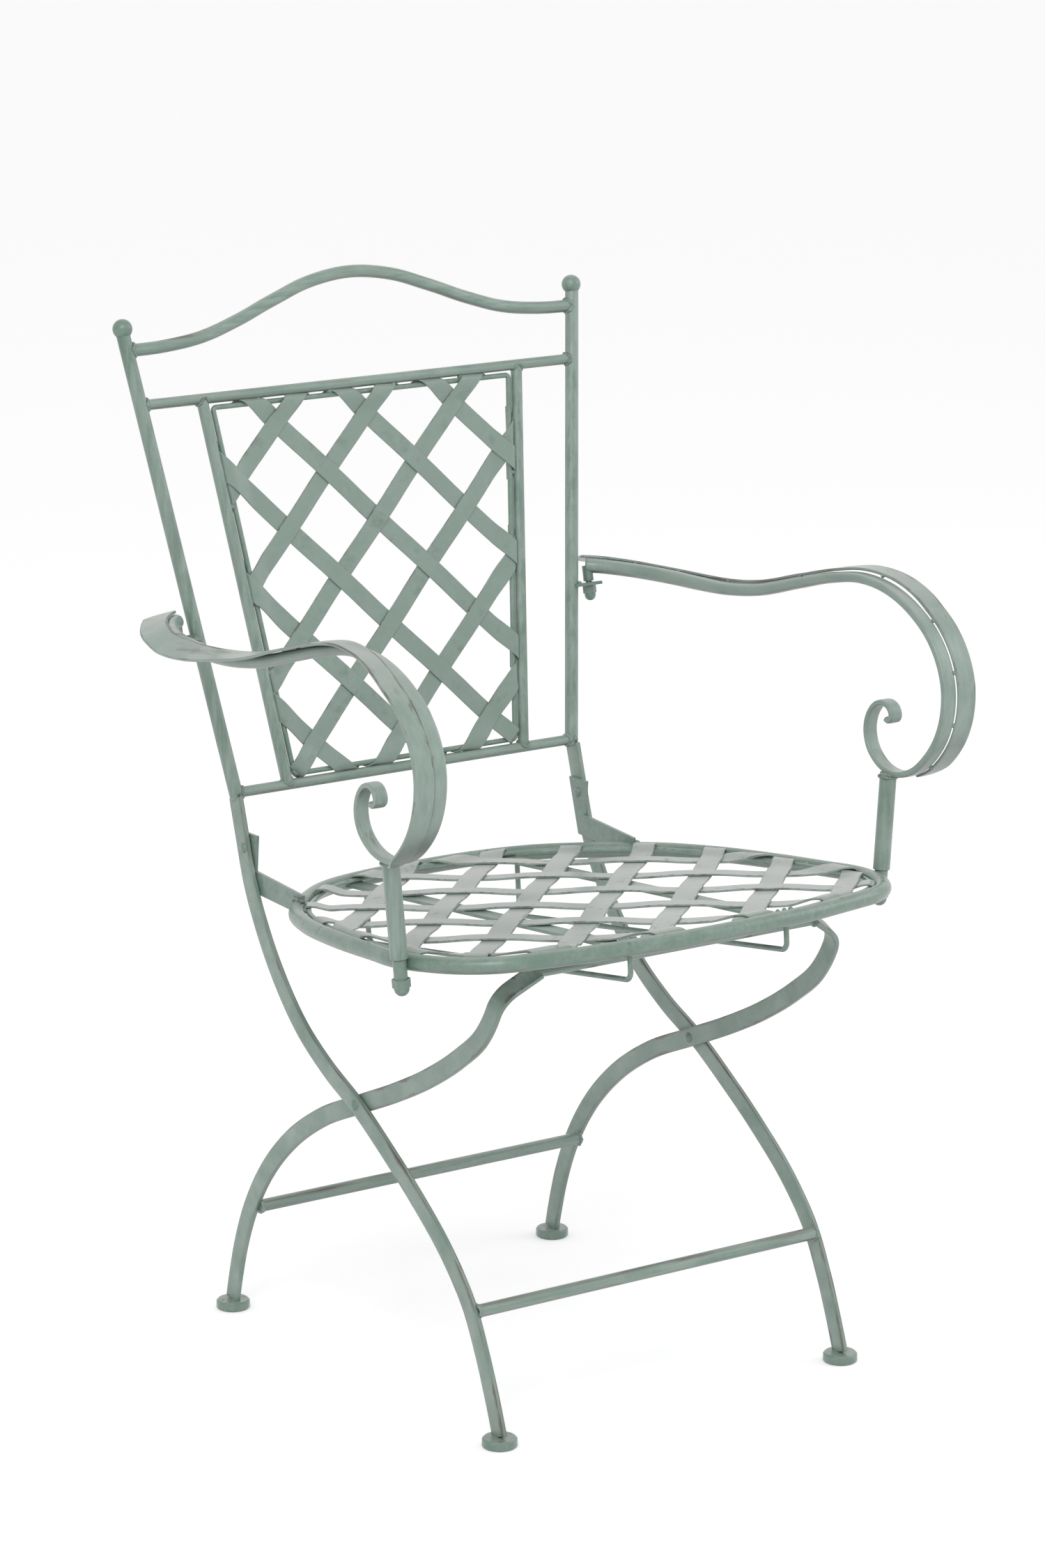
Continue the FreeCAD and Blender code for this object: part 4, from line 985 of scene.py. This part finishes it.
def bead(part, centre, toward, big, small_r, big_r, thick, phase):
    """A closed bead round the joint of a small tube and a big one; big_r of nought is a flat face."""
    toward = unit(np.asarray(toward, float))
    big = np.asarray(big, float)
    one = unit(big - toward * (big @ toward))
    other = np.cross(toward, one)
    t = np.linspace(0.0, 2 * math.pi, BEAD_STEPS, endpoint=False)[:, None]
    stand = np.sqrt(np.maximum(big_r ** 2 - (small_r * np.sin(t)) ** 2, 0.0))
    path = np.asarray(centre) + (one * np.cos(t) + other * np.sin(t)) * small_r + toward * stand
    uneven = thick * (1.0 + 0.24 * np.sin(5 * t[:, 0] + phase) + 0.14 * np.sin(11 * t[:, 0] + 2 * phase))
    profile = ring_profile(uneven * MM, uneven * MM, count=BEAD_POINTS)
    rings, edge = carried(path * MM, toward, profile, closed=True)
    part.add_rings(rings, edge, closed=True)


def lump(part, centre, radius, phase):
    """A ball of weld, a little uneven: rings from pole to pole."""
    latitude = np.linspace(-LUMP_POLE, LUMP_POLE, LUMP_RINGS)[:, None] * math.pi
    longitude = np.linspace(0.0, 2 * math.pi, LUMP_POINTS, endpoint=False)[None]
    uneven = 0.10 * np.sin(3 * longitude + phase) * np.cos(latitude) + 0.08 * np.sin(2 * latitude + phase)
    size = radius * (1.0 + uneven)
    x = size * np.cos(latitude) * np.cos(longitude)
    y = size * np.cos(latitude) * np.sin(longitude)
    z = size * np.sin(latitude) * np.ones_like(longitude)
    rings = (np.stack([x, y, z], axis=-1) + np.asarray(centre)) * MM
    part.add_rings(rings, 0.0)


def upright_half(rise):
    """The upright's distance from the middle at a height up the lean."""
    return UPRIGHT_HALF_LOW + (UPRIGHT_HALF_HIGH - UPRIGHT_HALF_LOW) * rise / UPRIGHT_RISE


def on_upright(side, rise):
    """A place on the upright's axis, in millimetres."""
    return on_back(side * upright_half(rise), rise) / MM


def back_welds():
    """Rails and crown on the uprights, stiles on the rails, lugs, and the front stretcher."""
    part = Part()
    for k, (_, side) in enumerate(SIDES):
        inwards = (-side, 0.0, 0.0)
        upright = on_upright(side, UPRIGHT_RISE) - on_upright(side, 0.0)
        for rise, radius in RAILS:
            centre = on_upright(side, rise)
            bead(part, centre, inwards, upright, radius, UPRIGHT_R, RAIL_BEAD, phase=rise + k)
        low, high = (on_back(side * stile_half(rise), rise) / MM
                     for rise in (LOWER_RAIL_RISE, UPPER_RAIL_RISE))
        bead(part, low, high - low, (1.0, 0.0, 0.0), STILE_R, RAIL_R, STILE_BEAD, phase=k)
        bead(part, high, low - high, (1.0, 0.0, 0.0), STILE_R, RAIL_R, STILE_BEAD, phase=k + 2.0)
        for out in LUG_TACKS:
            half = upright_half(LUG_RISE) + LUG_TACK_OUT
            lump(part, on_back(side * half, LUG_RISE + LUG_TACK_UP, out) / MM, LUG_TACK_R, phase=out)
        x, y, z = FRONT_STRETCHER
        bead(part, (side * x, y, z), inwards, (0.0, 0.0, 1.0), STRETCHER_R, 0.0, RAIL_BEAD, phase=k + 4.0)
        for rise in FOOT_TACKS:
            foot = on_back(side * FRONT_BAR_X, rise, FOOT_TACK_FORWARD) / MM
            lump(part, foot, FOOT_TACK_R, phase=rise)
    part.build("back_weld_beads", "back_frame", paint_weld, weld=1.0)


def rear_welds():
    """The rear stretcher and the slide bar, on the crossing bars."""
    part = Part()
    for k, (_, side) in enumerate(SIDES):
        for (x, y, z), radius in ((REAR_STRETCHER, STRETCHER_R), (SLIDE_BAR_END, SLIDE_BAR_R)):
            centre = (side * x, y, z)
            bead(part, centre, (-side, 0.0, 0.0), (0.0, 0.0, 1.0), radius, 0.0, LEG_BEAD, phase=k + x)
    part.build("rear_weld_beads", "rear_legs", paint_weld, weld=1.0)


def seat_welds():
    """Post tops, brackets on the rim, slide rail ends, and the tacks between arm and band."""
    part = Part()
    for k, (_, side) in enumerate(SIDES):
        mirror = np.array([side, 1.0, 1.0])
        axis = unit(POST_TOP - POST_FOOT)
        top = (POST_TOP - axis * POST_BEAD_DOWN) * mirror
        bead(part, top, -axis * mirror, (0.0, 1.0, 0.0), POST_R, 0.0, LEG_BEAD, phase=k)
        for place in BRACKET_TACKS:
            lump(part, place * mirror, SEAT_TACK_R, phase=place[1])
        for x in SLIDE_TACKS:
            lump(part, on_seat(side * x, *SLIDE_TACK_PLACE) / MM, SEAT_TACK_R, phase=x)
        for count in BAND_TACKS:
            lump(part, band_edge(side, count), BAND_TACK_R, phase=count)
    part.build("seat_weld_beads", "seat", paint_weld, weld=1.0)


back_welds()
rear_welds()
seat_welds()

# %% [markdown]
# ## The plain tubes, nuts and rivets
#
# These come straight from the frame. Their shape is right, so they stay and get paint. Their meshes are
# loose triangles. A Weld modifier joins those, smooth shading rounds the tubes, and an Edge Split keeps
# real corners sharp.

# %% Carried nodes
ACROSS = ("crown_rail", "upper_rail", "lower_rail", "front_stretcher", "rear_stretcher", "slide_bar")
UPRIGHT = ("upright_left", "upright_right", "stile_left", "stile_right", "arm_post_left", "arm_post_right")
FIXINGS = ("leg_rivets", "hinge_rivets", "post_bolts", "post_nuts", "lug_studs", "lug_shoulders", "lug_nuts")
NODE_PAINTS = {**dict.fromkeys(ACROSS, paint_across), **dict.fromkeys(UPRIGHT, paint_upright),
               **dict.fromkeys(FIXINGS, paint_fixing)}
MERGE_GAP = 0.00001
SHARP_ANGLE = math.radians(35.0)
for name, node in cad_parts.items():
    if node.hide_render:
        continue
    node.data.materials.clear()
    node.data.materials.append(NODE_PAINTS.get(name, paint_plain))
    node.data.polygons.foreach_set("use_smooth", np.ones(len(node.data.polygons), bool))
    weld = node.modifiers.new("weld", "WELD")
    weld.merge_threshold = MERGE_GAP
    split = node.modifiers.new("split", "EDGE_SPLIT")
    split.split_angle = SHARP_ANGLE

# %% [markdown]
# ## Light and floor
#
# The photograph is a studio cut-out: even white light from all round and a white ground. A pale world does
# most of it, a large lamp over the camera's left shoulder gives the tubes their soft highlights, and the
# floor is a pale plane that takes the chair's shadow.

# %% Studio
WHITE = (1.0, 1.0, 1.0, 1.0)
BLACK = (0.0, 0.0, 0.0, 1.0)
WORLD_LIGHT = 0.66
LAMPS = (("key", (-2.2, -2.6, 3.4), 64.0, 2.2), ("fill", (3.0, -1.5, 2.2), 18.0, 2.0))
LAMP_AIM = np.array([0.0, 0.0, 0.5])
FLOOR_REACH = 40.0
FLOOR_GREY = (0.93, 0.93, 0.93, 1.0)
FLOOR_ROUGHNESS = 0.9
FLOOR_GLOW = 0.31


def seen_directly(tree):
    """One where the camera, a reflection or a clear surface looks at it, and nought for its light."""
    rays = tree.nodes.new("ShaderNodeLightPath")
    total = rays.outputs["Is Camera Ray"]
    for kind in ("Is Glossy Ray", "Is Transmission Ray"):
        most = tree.nodes.new("ShaderNodeMath")
        most.operation = "MAXIMUM"
        tree.links.new(total, most.inputs[0])
        tree.links.new(rays.outputs[kind], most.inputs[1])
        total = most.outputs[0]
    return total


def light_world():
    """White where it is seen directly, and a little dimmer as the light that falls on the chair."""
    world = bpy.data.worlds.new("studio")
    bpy.context.scene.world = world
    world.use_nodes = True
    tree = world.node_tree
    dimmer = tree.nodes["Background"]
    dimmer.inputs["Strength"].default_value = WORLD_LIGHT
    dimmer.inputs["Color"].default_value = WHITE
    white = tree.nodes.new("ShaderNodeBackground")
    white.inputs["Color"].default_value = WHITE
    choice = tree.nodes.new("ShaderNodeMixShader")
    tree.links.new(seen_directly(tree), choice.inputs["Fac"])
    tree.links.new(dimmer.outputs["Background"], choice.inputs[1])
    tree.links.new(white.outputs["Background"], choice.inputs[2])
    tree.links.new(choice.outputs["Shader"], tree.nodes["World Output"].inputs["Surface"])


def add_lamp(name, place, power, size):
    """A square lamp that faces the middle of the chair."""
    data = bpy.data.lights.new(name, "AREA")
    data.energy = power
    data.size = size
    added(name, data).matrix_world = aimed(place, place - LAMP_AIM)


def lay_floor():
    """A pale plane that glows a little as it is seen, so that it is white round the chair's shadow."""
    reach = FLOOR_REACH
    corners = [(-reach, -reach, 0.0), (reach, -reach, 0.0), (reach, reach, 0.0), (-reach, reach, 0.0)]
    mesh = bpy.data.meshes.new("floor")
    mesh.from_pydata(corners, [], [(0, 1, 2, 3)])
    shader = Shader("floor")
    glow = shader.mixed(seen_directly(shader.tree), BLACK, WHITE)
    shader.fill(shader.surface, {"Base Color": FLOOR_GREY, "Roughness": FLOOR_ROUGHNESS,
                                 "Emission Strength": FLOOR_GLOW, "Emission Color": glow})
    mesh.materials.append(shader.material)
    floor = added("floor", mesh)


light_world()
for lamp in LAMPS:
    add_lamp(*lamp)
lay_floor()
